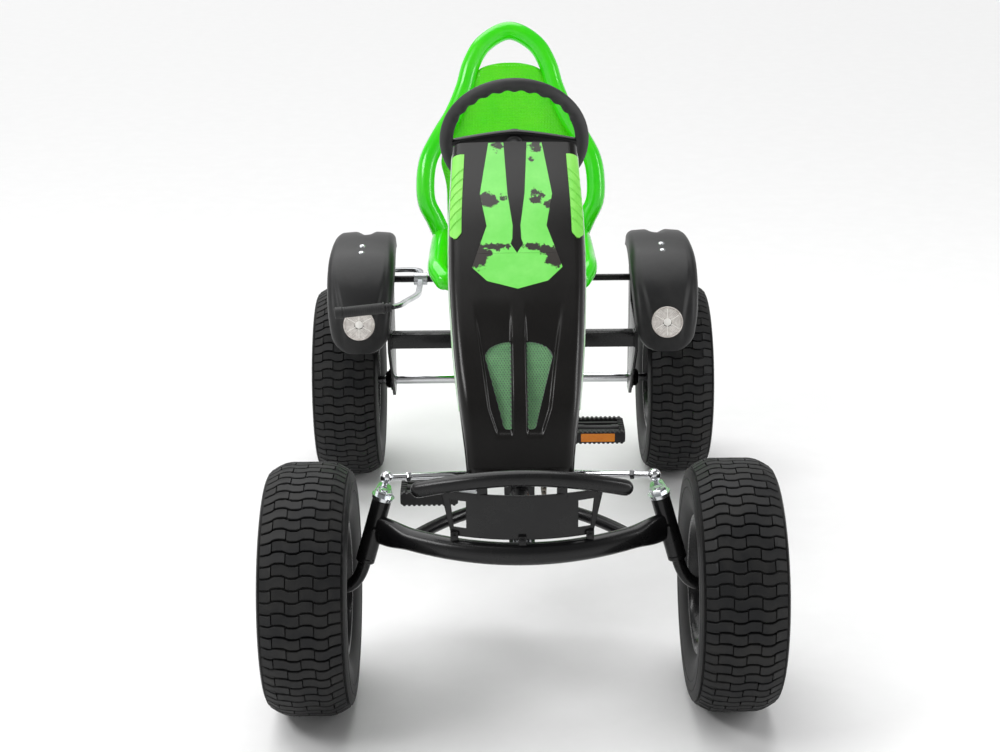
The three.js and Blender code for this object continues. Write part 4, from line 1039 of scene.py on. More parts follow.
for side, sign in SIDES:
    outline = grille_outline(sign, 0.0004)
    lattice = Mesh()

    def on_sheet(a, b, depth):
        return grille_foot + Vector((a, 0, 0)) + grille_up * b + grille_out * depth

    for slant, depth in ((60, -0.0064), (-60, -0.0058)):
        way = (math.cos(math.radians(slant)), math.sin(math.radians(slant)))
        normal = (-way[1], way[0])
        for i in range(-60, 60):
            origin = (sign * 0.03 + normal[0] * i * DIAMOND * 0.8, 0.07 + normal[1] * i * DIAMOND * 0.8)
            for start, end in inside_spans(outline, origin, way):
                if end - start < 0.002:
                    continue
                ends = [(origin[0] + way[0] * t, origin[1] + way[1] * t) for t in (start, end)]
                rings = []
                for a, b in ends:
                    rings.append([on_sheet(a + normal[0] * s * STRAND / 2, b + normal[1] * s * STRAND / 2, depth + d)
                                  for s, d in ((-1, 0), (1, 0), (1, 0.0009), (-1, 0.0009))])
                lattice.rings(rings)
    lattice.make("grille_%s_lattice" % side, mesh_green, "frame", "mesh_green", ("grille_mesh_" + side,), weld=False)
    cloth = Mesh()
    cloth.rings([[on_sheet(a, b, depth) for a, b in grille_outline(sign, -0.002)] for depth in (-0.0105, -0.0098)])
    frame_path = [on_sheet(a, b, -0.0058) for a, b in grille_outline(sign, 0.0006)]
    cloth.tube(frame_path, 0.0009, 8, loop=True)
    cloth.make("grille_%s_cloth" % side, mesh_back, "frame", "mesh_green")

# %% [markdown]
# ## Graphics
# The green graphics are cut film on the bonnet: two bands that narrow to a waist and then meet in a shield,
# with a black band between them. Each film is a strip of small faces laid on the bonnet's own surface. The
# worn black blotches are in the film's print, so they are a matter of colour: noise decides where the green
# gives way to near black, and it does so more in the places that a second mask favours.

# %% Printed film
def film_finish(name, colour, second):
    material = finish(name, colour, second, (0.24, 0.36), grain=900, patches=30)
    nodes, links = material.node_tree.nodes, material.node_tree.links
    shader = nodes["Principled BSDF"]
    green = shader.inputs["Base Color"].links[0].from_socket
    place = next(node for node in nodes if node.type == "TEX_COORD")
    ragged = nodes.new("ShaderNodeTexNoise")
    ragged.inputs["Scale"].default_value = 85
    ragged.inputs["Detail"].default_value = 12
    ragged.inputs["Roughness"].default_value = 0.72
    attribute = nodes.new("ShaderNodeAttribute")
    attribute.attribute_name = "worn"
    total = nodes.new("ShaderNodeMath")
    total.operation = "ADD"
    edge = nodes.new("ShaderNodeMapRange")
    edge.inputs["From Min"].default_value = 0.985
    edge.inputs["From Max"].default_value = 1.015
    blend = nodes.new("ShaderNodeMix")
    blend.data_type = "RGBA"
    blend.inputs["B"].default_value = (0.022, 0.017, 0.014, 1)
    links.new(place.outputs["Object"], ragged.inputs["Vector"])
    links.new(ragged.outputs["Fac"], total.inputs[0])
    links.new(attribute.outputs["Fac"], total.inputs[1])
    links.new(total.outputs[0], edge.inputs["Value"])
    links.new(edge.outputs["Result"], blend.inputs["Factor"])
    links.new(green, blend.inputs["A"])
    links.new(blend.outputs["Result"], shader.inputs["Base Color"])
    return material


film = film_finish("printed green film", (0.17, 0.72, 0.10), (0.22, 0.78, 0.14))
# This pale film is a painted reflection: it stands for the bright surroundings mirrored in the glossy bonnet sides and
# seat hoop.
painted_reflection_film = film_finish("painted reflection film", (0.52, 0.62, 0.53), (0.30, 0.74, 0.24))
# Worn places as (share of the length, x, reach along, reach across, strength).
WORN = [
    (0.985, 0.034, 0.050, 0.024, 0.62), (0.985, -0.030, 0.040, 0.022, 0.62), (0.93, 0.028, 0.030, 0.012, 0.52),
    (0.79, -0.048, 0.040, 0.026, 0.74), (0.80, -0.022, 0.030, 0.016, 0.58), (0.80, 0.034, 0.050, 0.026, 0.60),
    (0.775, 0.056, 0.036, 0.016, 0.64), (0.634, 0.032, 0.022, 0.040, 0.64), (0.634, -0.036, 0.022, 0.040, 0.66),
    (0.604, 0.064, 0.050, 0.024, 0.82), (0.606, -0.066, 0.056, 0.024, 0.84), (0.622, 0.048, 0.030, 0.020, 0.68),
    (0.618, -0.050, 0.030, 0.018, 0.64),
]


def film_strip(name, stops, steps=150, across=26):
    """A film between two edges: stops are (share, inner x, outer x)."""
    shares_at = [stop[0] for stop in stops]
    strip = Mesh()
    worn = []
    starts = []
    for share in np.linspace(shares_at[0], shares_at[-1], steps):
        inner = float(np.interp(share, shares_at, [stop[1] for stop in stops]))
        outer = float(np.interp(share, shares_at, [stop[2] for stop in stops]))
        line = np.linspace(inner, outer, across)
        starts.append(strip.add([bonnet_point(x, share, 0.0006) for x in line]))
        for x in line:
            spots = [
                strength * math.exp(-(((share - s) / reach) ** 2 + ((x - spot) / width) ** 2))
                for s, spot, reach, width, strength in WORN
            ]
            worn.append(max(spots))
    for first, second in zip(starts, starts[1:]):
        strip.ring_faces(first, second, across, closed=False)
    data_name = "worn"
    piece = strip.make(name, film, "frame", "vent_green", smooth=60, weld=False)
    attribute = piece.data.attributes.new(data_name, "FLOAT", "POINT")
    attribute.data.foreach_set("value", np.array(worn, np.float32))
    return piece


WAIST, TIP, FOOT = 0.703, 0.570, 0.501
for side, sign in SIDES:
    film_strip("film_band_" + side, [
        (0.614, 0.0, sign * 0.0667), (0.644, sign * 0.0105, sign * 0.061), (0.66, sign * 0.0075, sign * 0.058),
        (WAIST, sign * 0.0065, sign * 0.050), (0.811, sign * 0.0145, sign * 0.061),
        (last_share - 0.004, sign * 0.020, sign * 0.046),
    ])
film_strip("film_shield", [
    (FOOT, -0.001, 0.001), (0.526, -0.050, 0.050), (TIP, -0.0745, 0.0745), (0.6135, -0.0667, 0.0667),
], 70, 60)

# %% [markdown]
# The vents at the shoulders are light green louvred inserts: a strip with a pointed lower end and slanted
# ribs pressed into it. The strip is laid on the bonnet like the film, only thicker, and the ribs are small
# bars on top of it.

# %% Side vents
VENT_LOW, VENT_TOP = 0.665, 0.955


def shoulder_point(sign, angle, share, out):
    """A point on the rounded shoulder: angle 0 is the top of the round, 90 its side."""
    point, normal = bonnet_station(share)
    half = smooth_table(BONNET_HALF, share)
    start = CROWN * (1 - ((half - SHOULDER) / half) ** 2)
    if angle < 0:
        return point + Vector((sign * (half - SHOULDER + SHOULDER * angle), 0, 0)) + normal * (start + out)
    reach = SHOULDER + out
    x = half - SHOULDER + reach * math.sin(angle)
    return point + Vector((sign * x, 0, 0)) + normal * (start - SHOULDER + reach * math.cos(angle))


for side, sign in SIDES:
    vent = Mesh()
    starts = []
    for share in np.linspace(VENT_LOW, VENT_TOP, 90):
        taper = min(ramp(share, VENT_LOW - 0.006, VENT_LOW + 0.022), 1.0)
        low_angle, high_angle = 0.28 - 0.50 * taper, 0.42 + 0.62 * taper
        line = np.linspace(low_angle, high_angle, 15)
        ring = [shoulder_point(sign, a, share, 0.0022) for a in line]
        ring += [shoulder_point(sign, a, share, 0.0002) for a in reversed(line)]
        starts.append(ring)
    vent.rings(starts)
    for share in np.arange(VENT_LOW + 0.035, VENT_TOP - 0.055, 0.034):
        path = [shoulder_point(sign, a, share + 0.030 * (0.92 - a), 0.0021) for a in np.linspace(-0.1, 0.92, 12)]
        vent.tube(path, 0.0019, 10, rounded=True)
    vent.make("side_vent_%s_louvres" % side, vent_green, "frame", "vent_green", ("side_vent_" + side,), smooth=40,
              weld=False)

# %% [markdown]
# A long pale strip on the side walls of the bonnet is a painted reflection of the bright surroundings in the
# glossy black sides, broken up by dark blotches in the same way as the film. It starts narrow above the nose and widens
# towards the seat.

# %% Painted reflection on the bonnet sides
for side, sign in SIDES:
    strip = Mesh()
    worn = []
    starts = []
    for share in np.linspace(0.16, last_share - 0.01, 160):
        point, normal = bonnet_station(share)
        half = smooth_table(BONNET_HALF, share)
        deep = smooth_table(BONNET_DEEP, share)
        upper = -SHOULDER - 0.004
        lower = -deep + 0.004
        line = np.linspace(upper, lower, 10)
        starts.append(strip.add([
            point + Vector((sign * (half + 0.0026 * (1 - abs(2 * t - 1) ** 2) + 0.0009), 0, 0)) + normal * h
            for t, h in zip(np.linspace(0, 1, 10), line)
        ]))
        # These worn values only break the painted reflection up into dark gaps.
        worn += [0.30 + 0.16 * math.sin(share * 31 + t * 5) for t in np.linspace(0, 1, 10)]
    for first, second in zip(starts, starts[1:]):
        strip.ring_faces(first, second, 10, closed=False)
    piece = strip.make("painted_reflection_side_" + side, painted_reflection_film, "frame", "vent_green", smooth=60, weld=False)
    attribute = piece.data.attributes.new("worn", "FLOAT", "POINT")
    attribute.data.foreach_set("value", np.array(worn, np.float32))

# %% [markdown]
# ## Fenders
# Each fender is a blow-moulded shell hung over its tyre. It is lofted from sections along a line round the
# wheel: the front end has round corners, a raised band carries the reflector, and a groove runs out of the
# middle of the rear edge. The groove and band are heights added to the section, so one mesh has them all.

# %% Fenders
fender_rod_z = pivot("brake_pull").z
fender_x = (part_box("fender_left")[0].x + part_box("fender_left")[1].x) / 2
FENDER_HALF = ([0, 0.12, 0.3, 0.5, 1], [tyre_half + less for less in (-0.018, -0.009, -0.003, -0.001, -0.007)])
FENDER_LINE = [(151.1, 80), (139, 105), (126.6, 121), (113, 124), (100.1, 119), (88.1, 115), (77.2, 114)]


def over_tyre(degrees, out):
    """A point in the middle of the wheel's width, out mm from the tread."""
    angle = math.radians(degrees)
    radius = tyre_radius + out * MM
    return Vector((0, rear_y + radius * math.cos(angle), tyre_radius + radius * math.sin(angle)))


fender_line = evenly(spline([over_tyre(*stop) for stop in FENDER_LINE], 40), 301)
fender_length = sum((b - a).length for a, b in zip(fender_line, fender_line[1:]))
ROUND = 0.036


def fender_section(distance, x_middle, sign):
    share = distance / fender_length
    place = min(share * 300, 299.999)
    i = int(place)
    point = fender_line[i].lerp(fender_line[i + 1], place - i)
    way = (fender_line[i + 1] - fender_line[i]).normalized()
    normal = Vector((0, -way.z, way.y))
    if normal.z < 0:
        normal = -normal
    half = float(np.mean([np.interp(share + step, *FENDER_HALF) for step in (-0.06, 0, 0.06)]))
    skirt = 0.022 + 0.008 * share
    if distance < ROUND:
        half -= ROUND - math.sqrt(max(ROUND ** 2 - (ROUND - distance) ** 2, 0))
        skirt *= 0.45 + 0.55 * math.sqrt(distance / ROUND)
    corner = min(0.016, half * 0.3)
    band = 0.030 + 0.024 * ramp(share, 0.05, 0.5)
    raised = 0.0035 * ramp(share, 0.02, 0.12) * (1 - ramp(share, 0.45, 0.8))
    groove = 0.0085 * ramp(share, 0.80, 1.0)
    top = []
    for x in np.linspace(-(half - corner), half - corner, 41):
        height = 0.004 * (1 - (x / half) ** 2) - 0.0035
        height += raised * (1 - ramp(abs(x), band - 0.006, band + 0.004))
        height -= groove * (1 - ramp(abs(x), 0.0, 0.023))
        top.append((x, height))
    edge_height = top[-1][1]
    round_in = [(half - corner + corner * math.sin(a), edge_height - corner * (1 - math.cos(a)))
                for a in np.linspace(0, math.pi / 2, 9)[1:]]
    fall = [(half + 0.0015 * t, edge_height - corner - (skirt - corner) * t) for t in (0.33, 0.66, 1)
            if skirt > corner] or [(half, edge_height - corner - 0.0005 * t) for t in (1, 2, 3)]
    side = round_in + fall
    section = [(-x, h) for x, h in reversed(side)] + top + side
    return [point + Vector((x_middle + x, 0, 0)) + normal * h for x, h in section]


distances = list(ROUND * (1 - np.cos(np.linspace(0, math.pi / 2, 16)))) + list(
    np.linspace(ROUND, fender_length, 80))[1:]
BOLTS_AT = (104.4, 109.7)  # degrees round the axle


def on_fender(degrees):
    """The point of the fender's line at an angle round the axle, and the way out from there."""
    way = Vector((0, math.cos(math.radians(degrees)), math.sin(math.radians(degrees))))
    axle = Vector((0, rear_y, tyre_radius))
    return max(fender_line, key=lambda point: (point - axle).normalized().dot(way)), way


reflector_tilt = math.radians(17)
reflector_out = Vector((0, -math.cos(reflector_tilt), math.sin(reflector_tilt)))
reflector_up = Vector((0, math.sin(reflector_tilt), math.cos(reflector_tilt)))
reflector_middle = over_tyre(140.5, 102)
bearing_y = rear_y - 0.004
bearing_z = 2 * tyre_radius + 0.1
for side, sign in SIDES:
    fender = Mesh()
    starts = [fender.add(fender_section(distance, sign * fender_x, sign)) for distance in distances]
    count = (len(fender.points)) // len(starts)
    for first, second in zip(starts, starts[1:]):
        fender.ring_faces(first, second, count, closed=False)
    fender.make("fender_%s_shell" % side, fender_black, "frame", "black_plastic", ("fender_" + side,), smooth=50,
                thick=0.003)
    # The dome bolts, the rolled lip of the front end and the seat ring of the reflector.
    bolts = Mesh()
    for degrees in BOLTS_AT:
        on_line, normal = on_fender(degrees)
        spot = on_line + Vector((sign * fender_x, 0, 0)) + normal * 0.0004
        bolts.turned(spot, normal, [(-0.002, 0), (-0.002, 0.0085), (0.0008, 0.0085), (0.0012, 0.0066)]
                     + [(0.0012 + 0.0036 * math.sin(a), 0.0066 * math.cos(a)) for a in np.linspace(0.1, 1.57, 7)], 24)
    bolts.make("fender_%s_bolts" % side, zinc, "frame", "zinc")
    # A flat strap under the shell takes the bolts' load back to the post.
    strap = Mesh()
    strap_path = []
    for degrees in np.linspace(88, 113, 24):
        on_line, normal = on_fender(degrees)
        strap_path.append(on_line + Vector((sign * fender_x, 0, 0)) - normal * 0.0062)
    strap.swept(strap_path, squared(0.0020, 0.0150, 0.0006, 1), up=Vector((1, 0, 0)))
    strap.make("fender_%s_strap" % side, black_paint, "frame", "black_paint")

# %% [markdown]
# A reflector is three things: a clear moulded lens, a silvered plate behind it with fine prisms, and a ring.
# The six ribs are the joints between the prism fields and are made solid; they catch the light, and their near-white
# colour is a painted glint.

# %% Reflectors
for side, sign in SIDES:
    centre = Vector((sign * fender_x, reflector_middle.y, reflector_middle.z))
    radius = 0.031
    ring = Mesh().turned(centre - reflector_out * 0.003, reflector_out, [
        (0, 0), (0, radius), (0.0075, radius), (0.0090, radius - 0.0008), (0.0095, radius - 0.0022),
        (0.0082, radius - 0.0030), (0.0074, radius - 0.0036), (0.0070, 0)], 56)
    ring.make("reflector_%s_back" % side, lens_back, "frame", "lens", ("fender_reflector_" + side,), smooth=40)
    ribs = Mesh()
    face = centre + reflector_out * 0.0041
    for i in range(6):
        a = math.pi / 6 + i * math.pi / 3
        way = Vector((1, 0, 0)) * math.cos(a) + reflector_up * math.sin(a)
        path = [face + way * 0.007, face + way * 0.0265]
        ribs.swept(path, squared(0.0008, 0.0010, 0.0003, 1), up=reflector_out)
    ribs.turned(face - reflector_out * 0.001, reflector_out, [
        (0, 0), (0, 0.0078), (0.0016, 0.0074), (0.0024, 0.0062), (0.0026, 0)], 32)
    # Concentric prism lines between the ribs, near white as a painted glint.
    for radius_at in np.arange(0.0105, 0.0265, 0.0026):
        circle = [face - reflector_out * 0.0001 + Vector((1, 0, 0)) * radius_at * math.cos(a)
                  + reflector_up * radius_at * math.sin(a) for a in (2 * math.pi * i / 48 for i in range(48))]
        ribs.tube(circle, 0.0005, 6, loop=True)
    ribs.make("reflector_%s_ribs" % side, lens_rib_painted_glint, "frame", "lens", weld=False)

# %% [markdown]
# ## Seat
# The seat is one hollow blown moulding: a hoop that starts as side bolsters at the pan, runs out wide behind
# the driver's hips and closes above the head as a handle, with a flat panel inside it. The hoop is a swept
# tube whose radius changes; panel and pan are height fields, which keeps every edge soft.

# %% Seat hoop
seat_front = rear_y - 0.218
seat_rear = seat_front + 0.28
seat_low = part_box("seat_shell")[0].z
BACK_LEAN = math.radians(15)
back_foot = Vector((0, seat_rear, seat_low + 0.022))
back_up = Vector((0, math.sin(BACK_LEAN), math.cos(BACK_LEAN)))
back_out = Vector((0, -math.cos(BACK_LEAN), math.sin(BACK_LEAN)))


def on_back(x, up, out=0):
    return back_foot + Vector((x * MM, 0, 0)) + back_up * up * MM + back_out * out * MM


def near_seat(x, back, up):
    return Vector((x * MM, seat_front + back * MM, seat_low + up * MM))


half_hoop = [near_seat(136, 12, 22), near_seat(149, 48, 32), near_seat(150, 128, 38), near_seat(147, 208, 50)]
half_hoop += [on_back(*stop) for stop in (
    (146, 26, 26), (158, 56, 32), (175, 92, 36), (178, 136, 34), (171, 182, 28), (148, 228, 20), (118, 278, 12),
    (95, 332, 6), (80, 382, 2), (54, 424, 0))]
hoop_line = half_hoop + [on_back(0, 451)] + [Vector((-p.x, p.y, p.z)) for p in reversed(half_hoop)]
hoop_path = evenly(spline(hoop_line, 30), 260)
seat = Mesh().tube(hoop_path, 0.019, 30, rounded=True)
seat.make("seat_hoop", seat_green, "seat", "green_plastic", ("seat_shell",), smooth=60)

# %% [markdown]
# The back panel is a cushion-like slab inside the hoop; its front has rows of tiny bumps that keep a driver
# from sliding. The bumps are pressed into the finish's own surface, as they are under a millimetre high.

# %% Seat back and pan
def panel_half(up):
    """Half width of the back panel at a height along it."""
    rows, widths = [0, 130, 182, 228, 278, 350], [132, 134, 148, 129, 106, 78]
    if up <= 350:
        return float(np.mean([np.interp(up + step, rows, widths) for step in (-12, 0, 12)]))
    return 76 * math.sqrt(max(0, 1 - ((up - 350) / 34) ** 2)) ** 0.8


back = Mesh()
rings = []
for up in list(np.linspace(-12, 350, 50)) + list(350 + 33.8 * np.sin(np.linspace(0.04, math.pi / 2, 24))):
    half = max(panel_half(up), 1.5)
    hollow = 7 * ramp(up, 0, 120) * (1 - ramp(up, 250, 384))
    top_round = ramp(up, 372, 384) * 4
    front, rear = [], []
    for t in np.linspace(-1, 1, 37):
        x = half * t
        lip = 5.5 * ramp(abs(t), 0.86, 1.0)
        front.append(on_back(x, up, 11 - hollow * (1 - t * t) - lip - top_round))
        rear.append(on_back(x, up, -11 + lip + top_round))
    rings.append(front + rear[::-1])
back.rings(rings)
back.make("seat_back", seat_dimpled, "seat", "green_plastic", smooth=60, weld=False)

pan = Mesh()
rings = []
for x in np.linspace(-140, 140, 57):
    edge = ramp(abs(x), 126, 140)
    bowl = 7 * (1 - (x / 140) ** 2)
    outline = [(0, 10 + 3 * edge), (2, 4 + 4 * edge), (14, 0 + 4 * edge), (140, 0 + 4 * edge), (273, 0 + 4 * edge),
               (296, 9), (306, 20), (311, 34), (308, 43), (294, 47), (278, 46), (264, 36), (250, 27 - edge),
               (225, 20 - bowl * 0.4), (188, 18 - bowl * 0.7), (140, 18 - bowl), (100, 18 - bowl),
               (70, 22 - bowl * 0.6), (45, 29 - bowl * 0.2), (30, 31 - edge), (16, 31 - 2 * edge), (6, 27 - 2 * edge),
               (1, 19)]
    rings.append([near_seat(x, a, b) for a, b in outline])
pan.rings(rings)
pan.make("seat_pan", seat_green, "seat", "green_plastic", smooth=60, weld=False)

# %% [markdown]
# A pale strip on the hoop's outer sides is a painted reflection: it runs round the widest part and is broken up by dark
# blotches like the strip on the bonnet. It follows the hoop a third of a millimetre above the surface.

# %% Painted reflection on the seat hoop
for side, sign in SIDES:
    strip = Mesh()
    worn = []
    starts = []
    centre_line = [p for p in hoop_path if p.x * sign > 0.118 and (p - back_foot).dot(back_up) > 0.035
                   and (p - back_foot).dot(back_up) < 0.262]
    for i, point in enumerate(centre_line):
        way = (centre_line[min(i + 1, len(centre_line) - 1)] - centre_line[max(i - 1, 0)]).normalized()
        outwards = way.cross(back_out).normalized()
        if outwards.x * sign < 0:
            outwards = -outwards
        behind = way.cross(outwards).normalized()
        if behind.dot(back_out) > 0:
            behind = -behind
        line = [point + (outwards * math.cos(a) + behind * math.sin(a)) * 0.0193 for a in np.linspace(0.05, 1.3, 12)]
        starts.append(strip.add(line))
        share = i / len(centre_line)
        # These worn values only break the painted reflection up into dark gaps.
        worn += [0.34 + 0.3 * math.exp(-((share - (0.2 if sign > 0 else 0.8)) / 0.16) ** 2)] * 12
    for first, second in zip(starts, starts[1:]):
        strip.ring_faces(first, second, 12, closed=False)
    piece = strip.make("painted_reflection_seat_" + side, painted_reflection_film, "seat", "vent_green", smooth=60, weld=False)
    attribute = piece.data.attributes.new("worn", "FLOAT", "POINT")
    attribute.data.foreach_set("value", np.array(worn, np.float32))

# %% [markdown]
# The seat slides on a steel rail. The carriage grips the rail from above and a clamping knob locks it; the
# knob has five lobes so that a child's hand can turn it.

# %% Seat carriage and knob
for node in ("seat_carriage", "seat_rail", "frame_backbone", "rear_crossbar", "axle_plate_left", "axle_plate_right"):
    refined(node, black_paint, 0.0014)

knob_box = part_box("seat_knob")
knob_axis = Vector((1, 0, 0))
knob_middle = Vector((knob_box[0].x, pivot("seat_clamp").y, pivot("seat_clamp").z))
knob_length = knob_box[1].x - knob_box[0].x
knob = Mesh().rod(knob_middle, knob_middle + knob_axis * (knob_length - 0.014), 0.005, 20)
rings = []
for along, grow in ((knob_length - 0.016, 0.80), (knob_length - 0.0145, 0.97), (knob_length - 0.004, 1.0),
                    (knob_length - 0.001, 0.9), (knob_length, 0.72)):
    rings.append([
        knob_middle + knob_axis * along + Vector((0, math.cos(a), math.sin(a))) * grow * (0.0138 + 0.0019 * math.cos(5 * a))
        for a in (2 * math.pi * i / 80 for i in range(80))
    ])
knob.rings(rings)
knob.make("seat_knob_lobes", grip_black, "seat_knob", "black_plastic", ("seat_knob",), smooth=40)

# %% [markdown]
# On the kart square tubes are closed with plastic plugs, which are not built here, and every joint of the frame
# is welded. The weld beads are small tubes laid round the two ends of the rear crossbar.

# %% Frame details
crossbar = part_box("rear_crossbar")
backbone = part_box("frame_backbone")
welds = Mesh()
cross_middle = (crossbar[0] + crossbar[1]) / 2
half_bar = (crossbar[1].z - crossbar[0].z) / 2
for _, sign in SIDES:
    x = sign * (crossbar[1].x - 0.0008)
    square = squared(half_bar, half_bar, 0.003)
    welds.tube([cross_middle + Vector((x, a, b)) for a, b in square], 0.0022, 8, loop=True)
welds.make("frame_weld_beads", black_paint, "frame", "black_paint")

for side, sign in SIDES:
    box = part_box("rear_bearing_" + side)
    inner = box[0].x if sign > 0 else box[1].x
    centre = Vector((inner, rear_y, tyre_radius))
    bearing = Mesh().turned(centre, (sign, 0, 0), [
        (0, 0.0106), (0, 0.0225), (0.0006, 0.023), (0.0035, 0.023), (0.004, 0.0215), (0.0045, 0.0185), (0.0115, 0.0178),
        (0.0125, 0.017), (0.0125, 0.0150), (0.0148, 0.0146), (0.015, 0.0140), (0.015, 0.0106)], 48, closed=True)
    for i in range(3):
        a = math.pi / 2 + i * 2 * math.pi / 3
        spot = centre + Vector((sign * 0.0035, 0.0195 * math.cos(a), 0.0195 * math.sin(a)))
        bearing.bolt(spot, (sign, 0, 0), 0.0034, 0.003, washer=False)
    bearing.make("rear_bearing_%s_flange" % side, black_paint, "frame", "black_paint", ("rear_bearing_" + side,))

# %% [markdown]
# The fender rod is one bent-free bar under the seat; posts and pads welded to it carry the fenders. The hand
# brake turns on it.

# %% Fender rod
rod_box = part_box("fender_rod")
pad = fender_x
rod = Mesh().rod((rod_box[0].x + 0.014, rear_y, fender_rod_z), (rod_box[1].x - 0.014, rear_y, fender_rod_z), 0.007, 28)
for _, sign in SIDES:
    rod.rod((sign * pad, rear_y, fender_rod_z), (sign * pad, bearing_y, bearing_z - 0.004), 0.0068, 24)
    outline = squared(0.022, 0.028, 0.005)
    rod.prism(outline, (sign * pad, bearing_y, bearing_z - 0.0065), (1, 0, 0), (0, 1, 0), 0.005)
rod.make("fender_rod_bar", black_paint, "frame", "black_paint", ("fender_rod",))

# %% [markdown]
# ## Cranks and pedals
# Forged cranks taper towards the pedal and have a boss at each end. The pedals are black plastic blocks with
# treads on both faces, toothed edges and an amber reflector front and back.

# %% Cranks and pedals
crank_at = pivot("crank_spin")
spindle_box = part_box("crank_spindle")
spindle = Mesh().rod((spindle_box[0].x, crank_at.y, crank_at.z), (spindle_box[1].x, crank_at.y, crank_at.z), 0.0085, 32)
spindle.make("crank_spindle_bar", zinc, "crank", "zinc", ("crank_spindle",))

ARM_DEPTH = 0.012
for side, sign in SIDES:
    pedal_at = pivot("pedal_%s_spin" % side)
    arm_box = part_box("crank_arm_" + side)
    inner = arm_box[0].x if sign > 0 else arm_box[1].x
    arm = Mesh()
    reach = pedal_at.y - crank_at.y
    rings = []
    for t in np.linspace(0, 1, 24):
        tall = 0.011 - 0.0028 * t
        thick = ARM_DEPTH / 2 - 0.0008 * math.sin(math.pi * t)
        centre = Vector((inner + sign * ARM_DEPTH / 2, crank_at.y + reach * t, crank_at.z))
        rings.append([centre + Vector((a, 0, b)) for a, b in squared(thick, tall, 0.0035)])
    arm.rings(rings)
    for y, radius in ((crank_at.y, 0.017), (pedal_at.y, 0.013)):
        profile = [(0, 0), (0, radius - 0.001), (0.001, radius), (ARM_DEPTH - 0.001, radius), (ARM_DEPTH, radius - 0.001),
                   (ARM_DEPTH, 0)]
        arm.turned((inner, y, crank_at.z), (sign, 0, 0), profile, 36)
    arm.bolt(Vector((inner + sign * ARM_DEPTH, crank_at.y, crank_at.z)), (sign, 0, 0), 0.0085, 0.006)
    pin_end = arm_box[1].x if sign > 0 else arm_box[0].x
    arm.rod((inner + sign * 0.004, pedal_at.y, crank_at.z), (pin_end, pedal_at.y, crank_at.z), 0.006, 24)
    arm.make("crank_arm_%s_forging" % side, zinc, "crank", "zinc", ("crank_arm_" + side,))

    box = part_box("pedal_" + side)
    low_x, high_x = box[0].x, box[1].x
    middle = Vector(((low_x + high_x) / 2, pedal_at.y, pedal_at.z))
    wide, deep, tall = (high_x - low_x) / 2, (box[1].y - box[0].y) / 2, (box[1].z - box[0].z) / 2
    cage = Mesh()
    # Two side bars, two end rails and the barrel round the pin.
    for way in (-1, 1):
        edge = middle + Vector((0, way * (deep - 0.006), 0))
        cage.prism(squared(wide - 0.001, tall - 0.002, 0.004), edge + Vector((0, 0.005, 0)), (1, 0, 0), (0, 0, 1), 0.010)
        for i in range(11):
            x = -wide + 0.0075 + i * (2 * wide - 0.015) / 10
            for lift in (-1, 1):
                tooth = edge + Vector((x, 0, lift * (tall - 0.0022)))
                outline = [(-0.0028, 0), (0.0028, 0), (0.0017, 0.0022), (-0.0017, 0.0022)]
                outline = [(a, lift * b) for a, b in outline]
                cage.prism(outline, tooth + Vector((0, 0.005, 0)), (1, 0, 0), (0, 0, 1), 0.010, 0.0003)
        end = middle + Vector((way * (wide - 0.006), 0, 0))
        cage.prism(squared(deep - 0.003, tall - 0.002, 0.005), end - Vector((0.005, 0, 0)), (0, 1, 0), (0, 0, 1), 0.010)
        for i in range(7):
            y = -deep + 0.014 + i * (2 * deep - 0.028) / 6
            for lift in (-1, 1):
                tooth = end + Vector((-0.005, y, lift * (tall - 0.0022)))
                outline = [(-0.0028, 0), (0.0028, 0), (0.0017, 0.0022), (-0.0017, 0.0022)]
                cage.prism([(a, lift * b) for a, b in outline], tooth, (0, 1, 0), (0, 0, 1), 0.010, 0.0003)
    cage.turned(middle - Vector((wide - 0.004, 0, 0)), (1, 0, 0), [
        (0, 0.0066), (0, 0.0105), (0.018, 0.0105), (0.022, 0.0092), (2 * wide - 0.03, 0.0092), (2 * wide - 0.026, 0.0105),
        (2 * wide - 0.008, 0.0105), (2 * wide - 0.008, 0.0066)], 28, closed=True)
    for way in (-1, 1):
        rib = middle + Vector((-wide + 0.008, way * deep * 0.5, 0))
        cage.prism(squared(0.004, tall - 0.004, 0.001), rib, (0, 1, 0), (0, 0, 1), 2 * wide - 0.016)
    cage.make("pedal_%s_cage" % side, fender_black, "pedal_" + side, "black_plastic", ("pedal_" + side,), weld=False)
    for way, place in ((-1, "front"), (1, "rear")):
        if (side, place) == ("right", "front"):
            continue
        glass = Mesh()
        spot = middle + Vector((-0.002, way * (deep - 0.0016), 0))
        glass.prism(squared(0.031, 0.0078, 0.0012), spot + Vector((0, 0.0011 if way > 0 else 0.0014, 0)), (1, 0, 0),
                    (0, 0, 1), 0.0025)
        glass.make("pedal_%s_reflector_%s" % (side, place), amber, "pedal_" + side, "black_plastic")

# %% [markdown]
# ## Chain drive
# The chain is a real roller chain: outer and inner plates take turns, with a roller at every pin. Links are
# placed at one pitch along the belt line, which is two arcs and two straight runs. The tooth tips of the
# sprockets lie between the rollers.

# %% Sprockets and chain
PITCH = 0.0127
RING_TEETH, REAR_TEETH = 32, 14
chain_x = (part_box("chain")[0].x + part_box("chain")[1].x) / 2
rear_at = Vector((0, rear_y, tyre_radius))


def pitch_radius(teeth):
    return PITCH / (2 * math.sin(math.pi / teeth))


def sprocket_outline(teeth):
    """A toothed outline: a round seat under each roller and a pointed tooth between."""
    radius = pitch_radius(teeth)
    outline = []
    for i in range(teeth * 8):
        angle = 2 * math.pi * i / (teeth * 8)
        wave_at = 0.5 - 0.5 * math.cos(teeth * angle)
        outline.append((math.cos(angle) * (radius - 0.0048 + 0.0070 * wave_at ** 1.5),
                        math.sin(angle) * (radius - 0.0048 + 0.0070 * wave_at ** 1.5)))
    return outline


